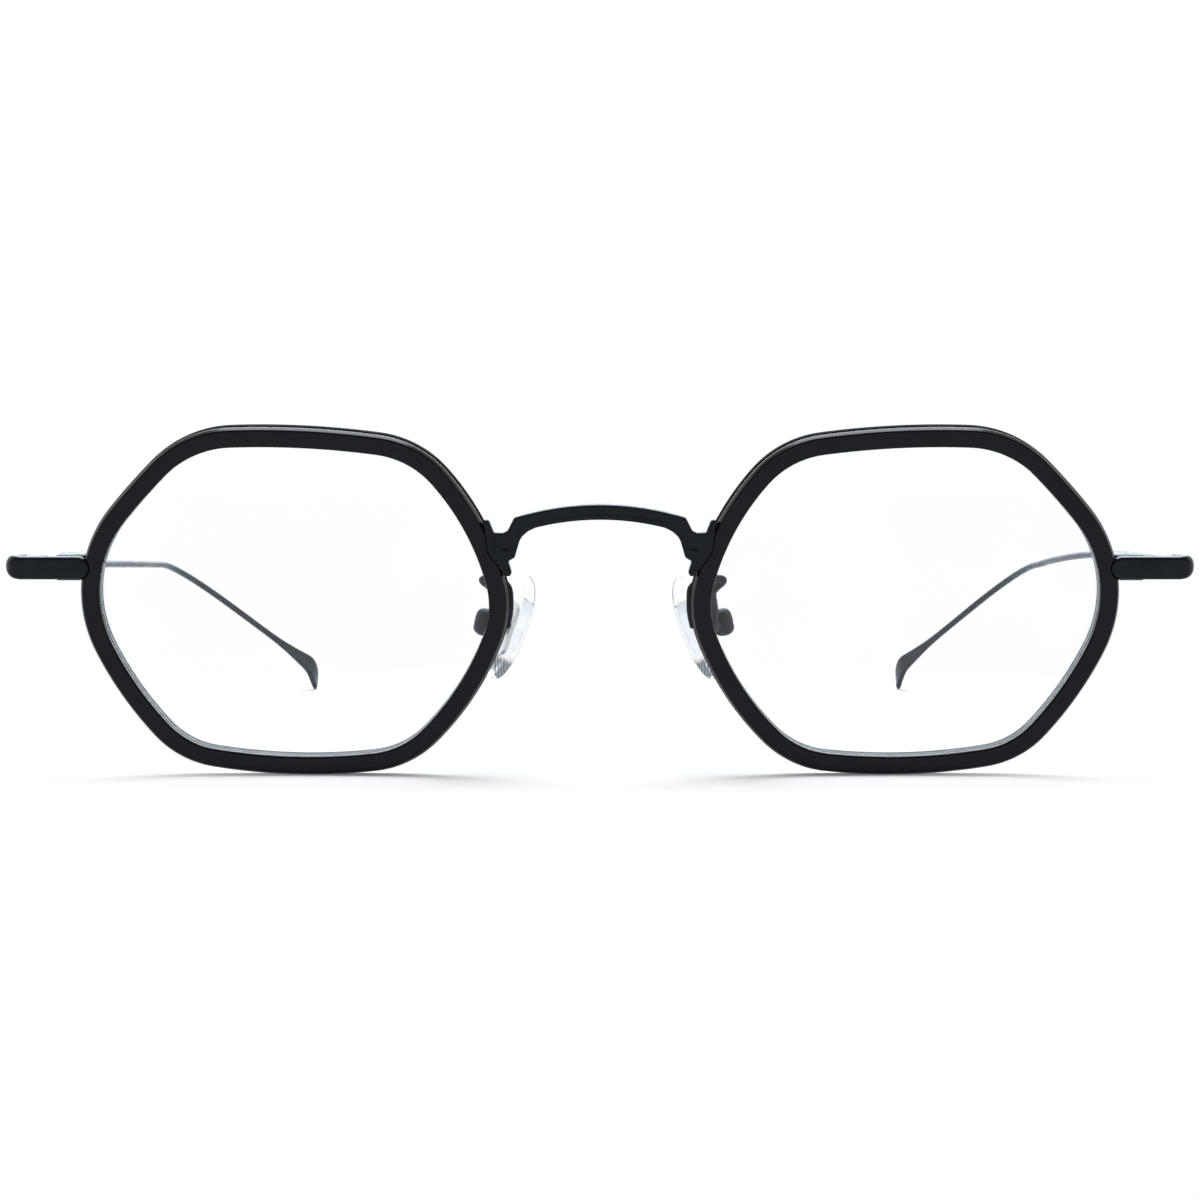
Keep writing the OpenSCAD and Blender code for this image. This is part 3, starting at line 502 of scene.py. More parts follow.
def bridge_outline():
    """Right half, over the arch and back under it, then its mirror: arcs joined by rounded corners."""
    top = np.linspace(0, np.arcsin(ARCH_X / ARCH_R), ARCH_POINTS)
    low = np.linspace(np.arcsin(UNDER_X / UNDER_R), 0, UNDER_POINTS)
    arch = np.stack([ARCH_R * np.sin(top), ARCH_TOP - ARCH_R * (1 - np.cos(top))], 1)
    under = np.stack([UNDER_R * np.sin(low), ARCH_TOP - ARCH_T - UNDER_R * (1 - np.cos(low))], 1)
    plate = np.array([
        [-1.7, -1.25], [-1.15, -1.5], [-0.12, -1.45], [0.45, 0.0], [1.15, 0.0], [0.95, -0.85],
        [0.65, -3.6], [0.1, -4.45], [-1.35, -6.35], [-1.85, -6.55], [-2.15, -6.1], [-1.75, -4.75],
        [-2.5, -4.3], [-3.05, -2.4], [-3.35, -1.85], [-4.0, -1.25],
    ]) + [NOSE_X, ARCH_Z]
    plate_radii = [0.6, 0.35, 0.2, 0.28, 0.28, 1.0, 1.2, 0.7, 0.35, 0.35, 0.4, 0.25, 0.45, 0.9, 1.2, 1.4]
    radii = np.concatenate([np.zeros(ARCH_POINTS - 1), [0.4], plate_radii, [1.6], np.zeros(UNDER_POINTS - 1)])
    half = np.concatenate([arch, plate, under])
    whole = np.concatenate([half[:-1], (half * [-1, 1])[::-1][:-1]])
    sizes = np.concatenate([radii[:-1], radii[::-1][:-1]])
    return rounded_corners(whole, sizes, 5)


def spaced(loop, step):
    """The same closed outline with points a fixed distance apart."""
    closed = np.concatenate([loop, loop[:1]])
    run = np.concatenate([[0], np.cumsum(np.linalg.norm(np.diff(closed, axis=0), axis=1))])
    at = np.linspace(0, run[-1], int(run[-1] / step) + 1)[:-1]
    return np.stack([np.interp(at, run, closed[:, k]) for k in (0, 1)], 1)


def grown(loop, by):
    """An outline moved outward by a distance, along the mean direction out of its two sides."""
    ahead, behind = unit(np.roll(loop, -1, 0) - loop), unit(loop - np.roll(loop, 1, 0))
    along = unit(ahead + behind)
    out = np.stack([along[:, 1], -along[:, 0]], 1)
    area = np.sum(loop[:, 0] * np.roll(loop[:, 1], -1) - loop[:, 1] * np.roll(loop[:, 0], -1))
    return loop + out * by * np.sign(area)


BRIDGE_EDGE = spaced(bridge_outline(), 0.11)
print("bridge outline:", len(BRIDGE_EDGE), "points,", np.ptp(BRIDGE_EDGE, 0).round(2), "mm")

# %% Rims with their pockets
LIP_OUT, BODY_OUT, TONGUE_OUT, GROOVE_OUT = 1.74, 0.91, 1.21, 0.05
POCKET_FRONT, POCKET_BACK, POCKET_L = -1.0, LIP_T + 0.03, 8
BRIDGE_GAP, BAR_GAP = 0.06, 0.12
RIM_SECTION = rounded_corners(
    [
        (LIP_OUT - 0.3, 0.0), (LIP_OUT, 0.6), (LIP_OUT, LIP_T), (BODY_OUT, LIP_T), (BODY_OUT, TONGUE_FRONT),
        (TONGUE_OUT, TONGUE_FRONT), (TONGUE_OUT, TONGUE_BACK), (BODY_OUT, TONGUE_BACK), (BODY_OUT, RIM_D),
        (-LENS_SEAT, RIM_D), (-LENS_SEAT, TONGUE_BACK), (GROOVE_OUT, TONGUE_BACK), (GROOVE_OUT, GROOVE_FRONT),
        (-LENS_SEAT, GROOVE_FRONT), (-LENS_SEAT, 0.0),
    ],
    [0.25, 0.3, 0.08, 0, 0, 0, 0, 0, 0.12, 0.28, 0.1, 0, 0, 0.1, 0.26],
    6,
)


def prism(loop, front, back):
    """A front-view outline at two depths, each one number or one for every point, in the shared frame."""
    x, w = np.asarray(loop).T
    return front_to_world([np.stack([x, np.broadcast_to(v, len(x)), w], 1) for v in (front, back)])


def keep_result(piece):
    """Makes what the piece's modifiers show its own mesh."""
    done = bpy.data.meshes.new_from_object(piece.evaluated_get(bpy.context.evaluated_depsgraph_get()))
    piece.modifiers.clear()
    piece.data = done


def cut(piece, *tools):
    """Takes each tool away from the piece, keeps the result and deletes the tools."""
    for tool in tools:
        cutting = piece.modifiers.new("pocket", "BOOLEAN")
        cutting.operation = "DIFFERENCE"
        cutting.solver = "EXACT"
        cutting.object = tool
    keep_result(piece)
    for tool in tools:
        bpy.data.objects.remove(tool)


def bar_pocket():
    """The bar's round end in the front view: a half circle and two straight sides."""
    a = np.radians(np.linspace(90, 270, 25))
    r = BAR_H / 2 + BAR_GAP
    end = np.stack([BAR_IN_X + BAR_H / 2 + r * np.cos(a), BAR_UP + r * np.sin(a)], 1)
    return np.concatenate([[[BAR_IN_X + POCKET_L, BAR_UP + r]], end, [[BAR_IN_X + POCKET_L, BAR_UP - r]]])


for side, word in SIDES:
    points = mirrored(front_to_world(ring_points(RIM_SECTION)), side)
    rim = solid(f"{word}_rim_smooth", points, grid_faces(len(EDGE), len(RIM_SECTION), True))
    pockets = grown(BRIDGE_EDGE, BRIDGE_GAP), bar_pocket() * [side, 1]
    cut(rim, *(tube("pocket_cutter", prism(loop, POCKET_FRONT, POCKET_BACK)) for loop in pockets))
    finish_mesh(rim.data, 32)
    dress(rim, rim_acetate, "front", "rim_acetate", f"{word}_rim")
    print(rim.name, len(rim.data.polygons), "faces")

# %% [markdown]
# ## Eyewires and lenses
# The wire is a channel: its section has a groove on the inside, where it holds the rim's
# tongue. It is split on the temple side, so its rows start just above the split and stop
# just below. The lens is two shallow spheres: each point's depth is the fall of a circle of
# 520 mm radius at its distance from the lens centre. Its edge is ground to a matt V, whose
# point sits in the rim's groove.

# %% Eyewires
FIT = 0.02
WIRE_SECTION = rounded_corners(
    [
        (WIRE_OUT, WIRE_FRONT), (WIRE_OUT, RIM_D), (WIRE_IN, RIM_D), (WIRE_IN, TONGUE_BACK + FIT),
        (WIRE_IN + TONGUE_H, TONGUE_BACK + FIT), (WIRE_IN + TONGUE_H, TONGUE_FRONT - FIT),
        (WIRE_IN, TONGUE_FRONT - FIT), (WIRE_IN, WIRE_FRONT),
    ],
    [0.2, 0.3, 0.12, 0, 0, 0, 0, 0.05],
    6,
)
SPLIT_GAP, SPLIT_CLEAR = 0.2, 0.3
BLOCK_UP = BAR_UP - 0.15


def split_outline(height, gap):
    """The outline as an open row of points that starts and ends half a gap above and below a height."""
    right = np.where(EDGE[:, 0] > 0, np.abs(EDGE[:, 1] - height), np.inf)
    start = int(np.argmin(right))
    edge, out = np.roll(EDGE, -start, 0), np.roll(EDGE_OUT, -start, 0)
    middle = edge[0] + (edge[-1] - edge[0]) * 0.5
    keep = np.linalg.norm(edge - edge[0], axis=1) > SPLIT_CLEAR
    edge, out = edge[keep], out[keep]
    first, last = (
        [end[0] + (w - end[1]) * (end[0] - middle[0]) / (end[1] - middle[1]), w]
        for end, w in ((edge[0], height + gap / 2), (edge[-1], height - gap / 2))
    )
    return np.concatenate([[first], edge, [last]]), np.concatenate([out[:1], out, out[-1:]])


wire_edge, wire_out = split_outline(BLOCK_UP, SPLIT_GAP)
for side, word in SIDES:
    points = mirrored(front_to_world(ring_points(WIRE_SECTION, wire_edge, wire_out)), side)
    wire = tube(f"{word}_eyewire_smooth", points)
    dress(wire, matt_plating, "front", "dark_metal", f"{word}_eyewire")
    print(wire.name, len(wire.data.polygons), "faces, split of", SPLIT_GAP, "mm")

# %% Lenses
LENS_T, LENS_R, LENS_STEPS = 1.3, 520.0, 14
FACE_INSET, EDGE_INSET = 0.5, 0.02


def fall(r):
    """How far a sphere falls back at a distance from its top."""
    return LENS_R - np.sqrt(LENS_R**2 - r**2)


LENS_TOP = (GROOVE_FRONT + TONGUE_BACK) / 2 - fall((LENS_W + LENS_H) / 4) - LENS_T / 2


def lens_surface(depth, inset, share):
    """Copies of the outline, moved in by the inset and shrunk by each share, lying on a sphere."""
    flat = (EDGE - inset * EDGE_OUT)[None] * np.atleast_1d(share)[:, None, None]
    v = LENS_TOP + fall(np.linalg.norm(flat, axis=-1)) + depth
    return np.stack([LENS_X + flat[..., 0], v, flat[..., 1]], -1)


share = np.linspace(1, 0, LENS_STEPS + 1)[:-1]
rows = np.concatenate([
    lens_surface(0.0, FACE_INSET, share[::-1]), lens_surface(LENS_T / 2, EDGE_INSET, 1.0),
    lens_surface(LENS_T, FACE_INSET, share),
])
poles = [[LENS_X, LENS_TOP, 0], [LENS_X, LENS_TOP + LENS_T, 0]]
points = front_to_world(np.concatenate([rows.reshape(-1, 3), poles]))
count, n = rows.shape[:2]
k = np.arange(n)
after, last_row = (k + 1) % n, (count - 1) * n
faces = grid_faces(count, n)
faces += np.stack([np.full(n, count * n), after, k], 1).tolist()
faces += np.stack([np.full(n, count * n + 1), last_row + k, last_row + after], 1).tolist()
for side, word in SIDES:
    lens = solid(f"{word}_lens_smooth", mirrored(points, side), faces)
    dress(lens, lens_plastic, "front", "lens_clear", f"{word}_lens")
    lens.data.materials.append(ground_edge)
    slot = np.zeros(len(lens.data.polygons), int)
    slot[(LENS_STEPS - 1) * n:(LENS_STEPS + 1) * n] = 1
    lens.data.polygons.foreach_set("material_index", slot)
    print(lens.name, len(lens.data.polygons), "faces,", int(slot.sum()), "of them in its ground edge")

# %% [markdown]
# ## Bridge
# The bridge is one stamped strip: an arch with a shallow groove, and at each end a plate
# with a pressed crease, let into the rim and soldered to the wire. Its outline is filled
# with points on a fine grid, and each point's depth is worked out at once: a quarter circle
# of edge rounding from its distance to the outline, plus the groove, the crease and a low
# ridge on the right plate.

# %% Bridge
EDGE_ROUND, BACK_ROUND = 0.12, 0.15
ARCH_FRONT, ARCH_BACK, PLATE_FRONT, PLATE_BACK = -0.3, 1.5, 0.02, 1.18
GROOVE, CREASE, RIDGE = (0.06, 0.13), (0.14, 0.22), (-0.05, 0.3)


def distance_to_line(points, line, closed=False):
    """Least distance from each point to a chain of straight stretches."""
    a = line if closed else line[:-1]
    b = np.roll(line, -1, 0) if closed else line[1:]
    ab = b - a
    t = np.einsum("pij,ij->pi", points[:, None] - a[None], ab) / np.maximum(np.sum(ab * ab, 1), 1e-12)
    near = a[None] + ab[None] * np.clip(t, 0, 1)[..., None]
    return np.linalg.norm(points[:, None] - near, axis=-1).min(1)


def inside(points, loop):
    """Even-odd rule: a level ray from an inner point crosses the outline an odd number of times."""
    (x, y), (x0, y0) = points.T[:, :, None], loop.T[:, None]
    x1, y1 = np.roll(loop, -1, 0).T[:, None]
    crosses = (y0 > y) != (y1 > y)
    at = x0 + (y - y0) * (x1 - x0) / np.where(y1 == y0, 1e-12, y1 - y0)
    return (crosses & (x < at)).sum(1) % 2 == 1


def filled(loop, step):
    """Points and triangles that fill an outline: its own points, two copies of it moved in, and a grid."""
    grid = np.meshgrid(*(np.arange(a, b, step) for a, b in zip(loop.min(0), loop.max(0))))
    cloud = np.stack([g.ravel() for g in grid], 1)
    cloud = cloud[inside(cloud, loop)]
    cloud = cloud[distance_to_line(cloud, loop, True) > EDGE_ROUND + step * 0.4]
    for by in EDGE_ROUND * np.array([0.3, 1.0]):
        copy = grown(loop, -by)
        copy = copy[inside(copy, loop)]
        cloud = np.concatenate([cloud, copy[distance_to_line(copy, loop, True) > by * 0.97]])
    both = np.concatenate([loop, cloud])
    out = delaunay_2d_cdt([tuple(p) for p in both], [], [list(range(len(loop)))], 1, 1e-6)
    return np.array([tuple(p) for p in out[0]]), [list(f) for f in out[2]]


def edge_rounding(d, r):
    """Depth lost near an edge: r minus the height of a quarter circle at distance d."""
    return r - np.sqrt(np.maximum(r**2 - (r - np.minimum(d, r)) ** 2, 0))


def bell(distance, depth, width):
    """A pressed line: its depth times e to the power of minus the square of distance over width."""
    return depth * np.exp(-((distance / width) ** 2))


def bridge_depths(flat):
    """Front and back depth of the strip: arch eased into plate, rounded at the edge, with pressed lines."""
    x, w = np.abs(flat[:, 0]), flat[:, 1]
    d = distance_to_line(flat, BRIDGE_EDGE, True)
    front = mix(ARCH_FRONT, PLATE_FRONT, ease((x - (ARCH_X - 1.6)) / 1.9))
    back = mix(ARCH_BACK, PLATE_BACK, ease((x - (ARCH_X - 1.2)) / 1.2))
    groove_r = ARCH_R - 0.56 * ARCH_T + 0.9
    centre = ARCH_TOP - 0.56 * ARCH_T - groove_r
    off = np.hypot(x, w - centre) - groove_r
    groove = bell(off, *GROOVE) * ease((ARCH_X - 0.5 - x) / 2.0)
    crease = np.array([[-1.25, -3.2], [-1.75, -3.2]]) + [NOSE_X, ARCH_Z]
    pressed = bell(distance_to_line(np.stack([x, w], 1), crease), *CREASE)
    ridge = np.array([[12.6, 8.3], [11.9, 6.2], [11.05, 4.3]])
    raised = bell(distance_to_line(flat, ridge), *RIDGE)
    front = front + edge_rounding(d, EDGE_ROUND) + groove + pressed + raised
    return front, back - edge_rounding(d, BACK_ROUND)


flat, triangles = filled(BRIDGE_EDGE, 0.16)
count = len(flat)
sides = {}
for a, b, c in triangles:
    for pair in ((a, b), (b, c), (c, a)):
        sides[frozenset(pair)] = None if frozenset(pair) in sides else pair
rim_edges = [pair for pair in sides.values() if pair]
faces = triangles + [[i + count for i in f[::-1]] for f in triangles]
faces += [[b, a, a + count, b + count] for a, b in rim_edges]
bridge = solid("bridge_strip", prism(flat, *bridge_depths(flat)), faces, 50)
dress(bridge, dark_plating, "front", "dark_metal", "bridge")
print("bridge:", count, "points a face,", len(rim_edges), "along its edge")

# %% [markdown]
# ## Bars, closing blocks and hinges
# Each bar starts as a half-round end in the rim, runs out, bends back and meets the temple.
# It is a row of rounded rectangles along that path, and the lean of the front fades out
# round the bend, so the hinge pin stands upright. The blocks behind it close the eyewire.

# %% Bars
BAR_V = BAR_T / 2 - BAR_PROUD
BAR_UP_WAY = np.array([0, -np.sin(LEAN), np.cos(LEAN)])
BAR_BACK_WAY = np.array([0, np.cos(LEAN), np.sin(LEAN)])
BAR_CORNER, BEND_CORNER, LEG_CORNER, END_DOME = 0.34, 0.3, 0.28, 0.22
BEND_OUTER, LEG_OUTER = (0.98, 1.22), (0.88, 1.12)
LEG_CHAMFER = np.array([0, 0.1])


def ring_at(centres, across_way, up_way, half_w, half_h, radius, outer=None, steps=5):
    """Rounded rectangles placed at centres and spanned by two directions each."""
    across, up = rounded_rectangle(half_w, half_h, radius, steps, outer)
    return centres[:, None] + across[..., None] * across_way[:, None] + up[..., None] * up_way[:, None]


def bar_rings():
    """A half-round end, a bend round which the lean fades, and a leg that is round outside like a D."""
    start = front_to_world([BAR_IN_X, BAR_V, BAR_UP])
    corner = front_to_world([FRONT_W / 2 - BAR_T / 2 - BAR_BEND, BAR_V, BAR_UP]) + BAR_BEND * BAR_BACK_WAY
    e = BAR_H / 2 * (1 - np.cos(np.radians(np.linspace(4, 90, 14))))
    half_h = np.sqrt(e * (BAR_H - e))
    ones = np.ones((len(e), 1))
    half_t = BAR_T / 2 - END_DOME * (1 - half_h / half_h[-1]) ** 3
    corners = np.minimum(BAR_CORNER, half_h * 0.6)
    centres = start + e[:, None] * [1, 0, 0]
    end = ring_at(centres, -ones * BAR_BACK_WAY, ones * BAR_UP_WAY, half_t, half_h, corners)
    a = np.radians(np.linspace(0, 90, 19))[:, None]
    lean = LEAN * (1 - a / (np.pi / 2))
    back = np.concatenate([0 * a, np.cos(lean), np.sin(lean)], 1)
    across = np.sin(a) * [1, 0, 0] - np.cos(a) * back
    up = np.concatenate([0 * a, -np.sin(lean), np.cos(lean)], 1)
    outer = tuple(mix(BAR_CORNER, full, ease(a[:, 0] / (np.pi / 2))) for full in BEND_OUTER)
    bend = ring_at(corner + BAR_BEND * across, across, up, BAR_T / 2, BAR_H / 2, BEND_CORNER, outer)
    centres = np.array([[FRONT_W / 2 - BAR_T / 2, HINGE[1] - back_off, HINGE[2]] for back_off in (0.12, 0)])
    ways = np.array([[1.0, 0, 0]] * 2), np.array([[0, 0, 1.0]] * 2)
    leg = ring_at(centres, *ways, BAR_T / 2 - LEG_CHAMFER, BAR_H / 2 - LEG_CHAMFER, LEG_CORNER, LEG_OUTER)
    return np.concatenate([end, bend, leg])


for side, word in SIDES:
    bar = tube(f"{word}_bar", mirrored(bar_rings(), side), 40)
    dress(bar, dark_plating, "front", "dark_metal", f"{word}_endpiece")
    print(bar.name, len(bar.data.polygons), "faces")

# %% Closing blocks
BLOCK_OUT_X, BLOCK_FRONT, BLOCK_D, BLOCK_H = 62.205, 1.22, 2.6, 2.9


def soft_edges(piece, width, segments=3):
    """Rounds the sharp edges with a Bevel and keeps the result."""
    bevel = piece.modifiers.new("soft_edges", "BEVEL")
    bevel.width = width
    bevel.segments = segments
    bevel.limit_method = "ANGLE"
    bevel.angle_limit = np.radians(40)
    keep_result(piece)
    finish_mesh(piece.data, 60)


def block_outline(low, high):
    """Front view of a block: the wire's outer curve on one side, straight on the others."""
    curve = EDGE + EDGE_OUT * (WIRE_OUT + FIT) + [LENS_X, 0]
    right = curve[curve[:, 0] > LENS_X + 15]
    right = right[np.argsort(right[:, 1])]
    w = np.linspace(low, high, 6)
    inner = np.stack([np.interp(w, right[:, 1], right[:, 0]), w], 1)
    return np.concatenate([inner, [[BLOCK_OUT_X, high], [BLOCK_OUT_X, low]]])


for side, word in SIDES:
    for part, low, high in (("upper", SPLIT_GAP / 2, BLOCK_H / 2), ("lower", -BLOCK_H / 2, -SPLIT_GAP / 2)):
        rings = prism(block_outline(BLOCK_UP + low, BLOCK_UP + high), BLOCK_FRONT, BLOCK_FRONT + BLOCK_D)
        block = tube(f"{word}_{part}_block", mirrored(rings, side))
        soft_edges(block, 0.16 * MM)
        dress(block, dark_plating, "front", "dark_metal", f"{word}_{part}_closing_block")
    print(word, "blocks closed round a split of", SPLIT_GAP, "mm")

# %% [markdown]
# ## Temples
# A temple is a wire: a flat front end by the hinge, a thin round wire, the ear bend and a
# flattened paddle. Its middle line comes in slowly, then curves in and down with a share
# that grows as the square of the distance through the bend and runs straight after it, and
# the tip hooks down and out. The right one bows up a little half way along, as on the
# photographed pair. Each is drawn three times, until its lowest point lies on the table.

# %% Temples
REACH, BEND_START, BEND_L = 131.0, 90.0, 23.5
WIRE_INSET, WIRE_FALL, WIRE_D, LEAF_L = 1.3, 2.4, 0.95, 2.6
END_T, END_H, END_L = 1.2, 2.3, 8.0
PADDLE_W, PADDLE_T, PADDLE_L, PADDLE_ROUND = 3.1, 0.9, 14.0, 1.6
TIP_DROP, TIP_HOOK, TIP_DROP_L = 2.4, 1.25, 3.4
TEMPLE_X = FRONT_W / 2 - END_T / 2
END_ROUND, END_OUTER, END_CHAMFER = 0.28, (0.88, 1.08), 0.06
TEMPLE_BOWS, TIP_INSETS, TIP_ROWS = (0.1, 1.4), (21.2, 18.9), (4.6, 1.7)


def temple_path(d, bow, inset, tip_z):
    """Middle line: x comes in and z falls by the bend's share, and the tip hooks by a square of its own."""
    e = np.maximum(0, d - BEND_START)
    share = np.where(e < BEND_L, e**2 / (2 * BEND_L), e - BEND_L / 2) / (REACH - BEND_START - BEND_L / 2)
    wire_in = lambda s: WIRE_INSET * np.maximum(0, s - LEAF_L) / (BEND_START - LEAF_L)
    t = np.minimum(1, d / BEND_START)
    x = TEMPLE_X - wire_in(d) - (inset - wire_in(REACH)) * share
    z = HINGE[2] - WIRE_FALL * d / BEND_START + 4 * bow * t * (1 - t)
    z = z - (HINGE[2] - WIRE_FALL * REACH / BEND_START - tip_z) * share
    last = np.maximum(0, 1 - (REACH - d) / TIP_DROP_L) ** 2
    return np.stack([x + TIP_HOOK * last, HINGE[1] + 0.15 + d, z - TIP_DROP * last], -1)


def quarter(left, length):
    """Height of a quarter ellipse at a distance from its end: 0 at the end, 1 from its length on."""
    return np.sqrt(np.maximum(0, 1 - (1 - np.clip(left / length, 0, 1)) ** 2))


def temple_section(d):
    """Half thickness, half height and edge radii: a D-like front end eased into a wire, then a paddle."""
    flare, taper = ease((d - REACH + PADDLE_L) / PADDLE_L), ease(d / END_L)
    left = np.maximum(REACH - d, 0)
    half_h = mix(mix(END_H, WIRE_D, taper), PADDLE_W, flare**2) / 2
    half_h = half_h * np.maximum(0.02, quarter(left, PADDLE_ROUND))
    half_t = mix(mix(END_T, WIRE_D, taper), PADDLE_T, flare) / 2 * np.maximum(0.05, quarter(left, 0.5))
    edge = 0.97 * np.minimum(half_h, half_t)
    return half_t, half_h, mix(END_ROUND, edge, taper), tuple(mix(r, edge, taper) for r in END_OUTER)


def temple_rings(bow, inset, tip_z):
    """Rounded rectangles square to the middle line, closest at the front end, in the bend and at the tip."""
    stops = (END_L, BEND_START, BEND_START + BEND_L, *(REACH - left for left in TIP_ROWS))
    rows = [np.linspace(a, b, n)[1:] for a, b, n in zip(stops, stops[1:], (30, 30, 24, 9))]
    tip = REACH - PADDLE_ROUND * (1 - np.sin(np.radians(np.linspace(4, 90, 18))))
    d = np.concatenate([[0.0, END_CHAMFER], np.linspace(0.25, END_L, 12), *rows, tip])
    path = temple_path(d, bow, inset, tip_z)
    way = unit(np.gradient(path, d, axis=0))
    way[:2] = [0, 1, 0]
    across = unit(np.cross(way, [0, 0, 1.0]))
    up = np.cross(across, way)
    half_t, half_h, edge, outer = temple_section(d)
    half_t[0] -= END_CHAMFER
    half_h[0] -= END_CHAMFER
    return ring_at(path, across, up, half_t, half_h, edge, outer, 6)


for (side, word), bow, inset in zip(SIDES, TEMPLE_BOWS, TIP_INSETS):
    tip_z = PADDLE_W / 2 + TIP_DROP
    for _ in range(3):
        tip_z -= temple_rings(bow, inset, tip_z)[..., 2].min()
    temple = tube(f"{word}_temple_wire", mirrored(temple_rings(bow, inset, tip_z), side), 40)
    dress(temple, wire_plating, f"{word}_temple_arm", "dark_metal", f"{word}_temple")
    print(temple.name, len(temple.data.polygons), "faces, tip from", round(float(tip_z), 2), "mm up")

# %% [markdown]
# ## Nose pads
# Each pad hangs on a gooseneck wire. Its foot is soldered up the back of the eyewire. It
# loops over toward the lens and comes down and back to a small box. A screw in the box
# carries the pad's insert, and the pad itself is a clear silicone cushion: boxy ovals
# stacked through its thickness, wider above than below. A number at each of its points
# marks a painted dark refraction, on the edge that faces forward at the lower end, where
# the dark parts behind show through the pad.

# %% Pad arms
PAD_LEAN, PAD_SPLAY, PAD_ROCK = np.radians(14.0), np.radians(28.0), np.radians(6.0)
PAD_PIVOT, PAD_SHIFT = np.array([14.05, 10.2, -4.05]), 0.45
PAD_BOX = np.array([2.3, 2.2, 3.2])
PAD_L, PAD_W, PAD_T, PAD_MID = 13.0, 7.6, 2.3, 3.2
ARM_R, ARM_SIDES = 0.475, 18


def turned(points, angle, first, second):
    """Turns the plane of two axes a and b: a becomes a cos - b sin, and b becomes a sin + b cos."""
    p = np.array(points, float)
    a, b = p[..., first].copy(), p[..., second].copy()
    p[..., first] = a * np.cos(angle) - b * np.sin(angle)
    p[..., second] = a * np.sin(angle) + b * np.cos(angle)
    return p


def pad_to_front(points, side, rock=0.0):
    """From the pad's own frame: rock on the screw, turn by the splay, lean, and move to the pad screw."""
    p = turned(turned(turned(points, rock, 0, 2), -PAD_SPLAY, 0, 1), PAD_LEAN, 0, 2)
    return p + PAD_PIVOT + [side * PAD_SHIFT, 0, 0]


def smooth_path(stops, steps):
    """Catmull-Rom curve through stops: each stretch leaves a stop in the direction of its two neighbours."""
    p = np.concatenate([stops[:1], stops, stops[-1:]])
    a, b, c, d = p[:-3, None], p[1:-2, None], p[2:-1, None], p[3:, None]
    t = np.linspace(0, 1, steps, endpoint=False)[None, :, None]
    curve = (2 * b + (c - a) * t + (2 * a - 5 * b + 4 * c - d) * t**2 + (3 * b - a - 3 * c + d) * t**3) / 2
    return np.concatenate([curve.reshape(-1, stops.shape[1]), stops[-1:]])


ARM_V = RIM_D + ARM_R + FIT


def arm_stops(side):
    """Foot soldered up the back of the eyewire, loop over toward the lens, way down and back to the box."""
    bent = side * PAD_SHIFT
    loop = np.array([
        [-1.37, 0, -3.3], [-1.7, 0.01, -1.6], [-1.75, 0.06, 0], [-1.5, 0.65, 1.2],
        [-0.2 + bent / 2, 1.5, 1.9], [1.75 + 0.75 * bent, 2.1, 1.8], [0.5 + bent, 2.8, 0.3],
        [0.7 + bent, 3.7, -1.9],
    ]) + [NOSE_X, ARM_V, 0]
    last = -PAD_BOX[1] / 2 - np.array([1.4, 0.7, 0.06])
    return np.concatenate([loop, pad_to_front(np.stack([0 * last, last, 0 * last], 1), side)])


def arm_rings(side):
    """A dome, then circles along the path, each turned as the last one was, so that nothing twists."""
    path = front_to_world(smooth_path(arm_stops(side), 8))
    way = unit(np.gradient(path, axis=0))
    across = np.zeros_like(path)
    across[0] = unit(np.cross(way[0], [0, 1.0, 0]))
    for i in range(1, len(path)):
        across[i] = unit(across[i - 1] - way[i] * (across[i - 1] @ way[i]))
    up = np.cross(across, way)
    a = np.radians(np.linspace(0, 360, ARM_SIDES, endpoint=False))
    circle = np.cos(a)[None, :, None] * across[:, None] + np.sin(a)[None, :, None] * up[:, None]
    dome_a = np.radians([88, 75, 60, 45, 30, 15])[:, None, None]
    dome = path[0] - way[0] * 0.6 * ARM_R * np.sin(dome_a) + ARM_R * np.cos(dome_a) * circle[:1]
    return np.concatenate([dome, path[:, None] + ARM_R * circle])


for side, word in SIDES:
    arm = tube(f"{word}_pad_wire", mirrored(arm_rings(side), side), 60)
    dress(arm, pad_metal, "front", "dark_metal", f"{word}_pad_arm")
    print(arm.name, len(arm.data.polygons), "faces")

# %% Pad boxes
BOX_WALL, BOX_SLOT, BOX_ROUND = 0.45, 1.2, 0.9


def box_points(low, high, side):
    """Two rings of four corners, in the pad's frame, turned into the shared frame."""
    (x0, y0, z0), (x1, y1, z1) = low, high
    ring = lambda z: [[x0, y0, z], [x1, y0, z], [x1, y1, z], [x0, y1, z]]
    return mirrored(front_to_world(pad_to_front(np.array([ring(z0), ring(z1)]), side)), side)


for side, word in SIDES:
    box = tube(f"{word}_pad_cup", box_points(-PAD_BOX / 2, PAD_BOX / 2, side))
    soft_edges(box, BOX_ROUND * MM, 7)
    slot_low = -PAD_BOX[0], -BOX_SLOT / 2, -PAD_BOX[2] / 2 + BOX_WALL
    slot_high = PAD_BOX[0] / 2 - BOX_WALL, BOX_SLOT / 2, PAD_BOX[2] / 2 - BOX_WALL
    cut(box, tube("slot_cutter", box_points(slot_low, slot_high, side)))
    finish_mesh(box.data, 50)
    dress(box, pad_metal, "front", "dark_metal", f"{word}_pad_box")
    print(box.name, len(box.data.polygons), "faces")

# %% Silicone pads
PAD_ROWS, PAD_COLS, PAD_BOXY, PAD_BOW = 30, 56, 0.86, 0.15
# Where the painted dark refraction lies: how far down the pad it starts, and how far toward the front edge.
DARK_REFRACTION_LOW, DARK_REFRACTION_LOW_FADE, DARK_REFRACTION_EDGE, DARK_REFRACTION_EDGE_FADE = 0.42, 0.12, 0.6, 0.8


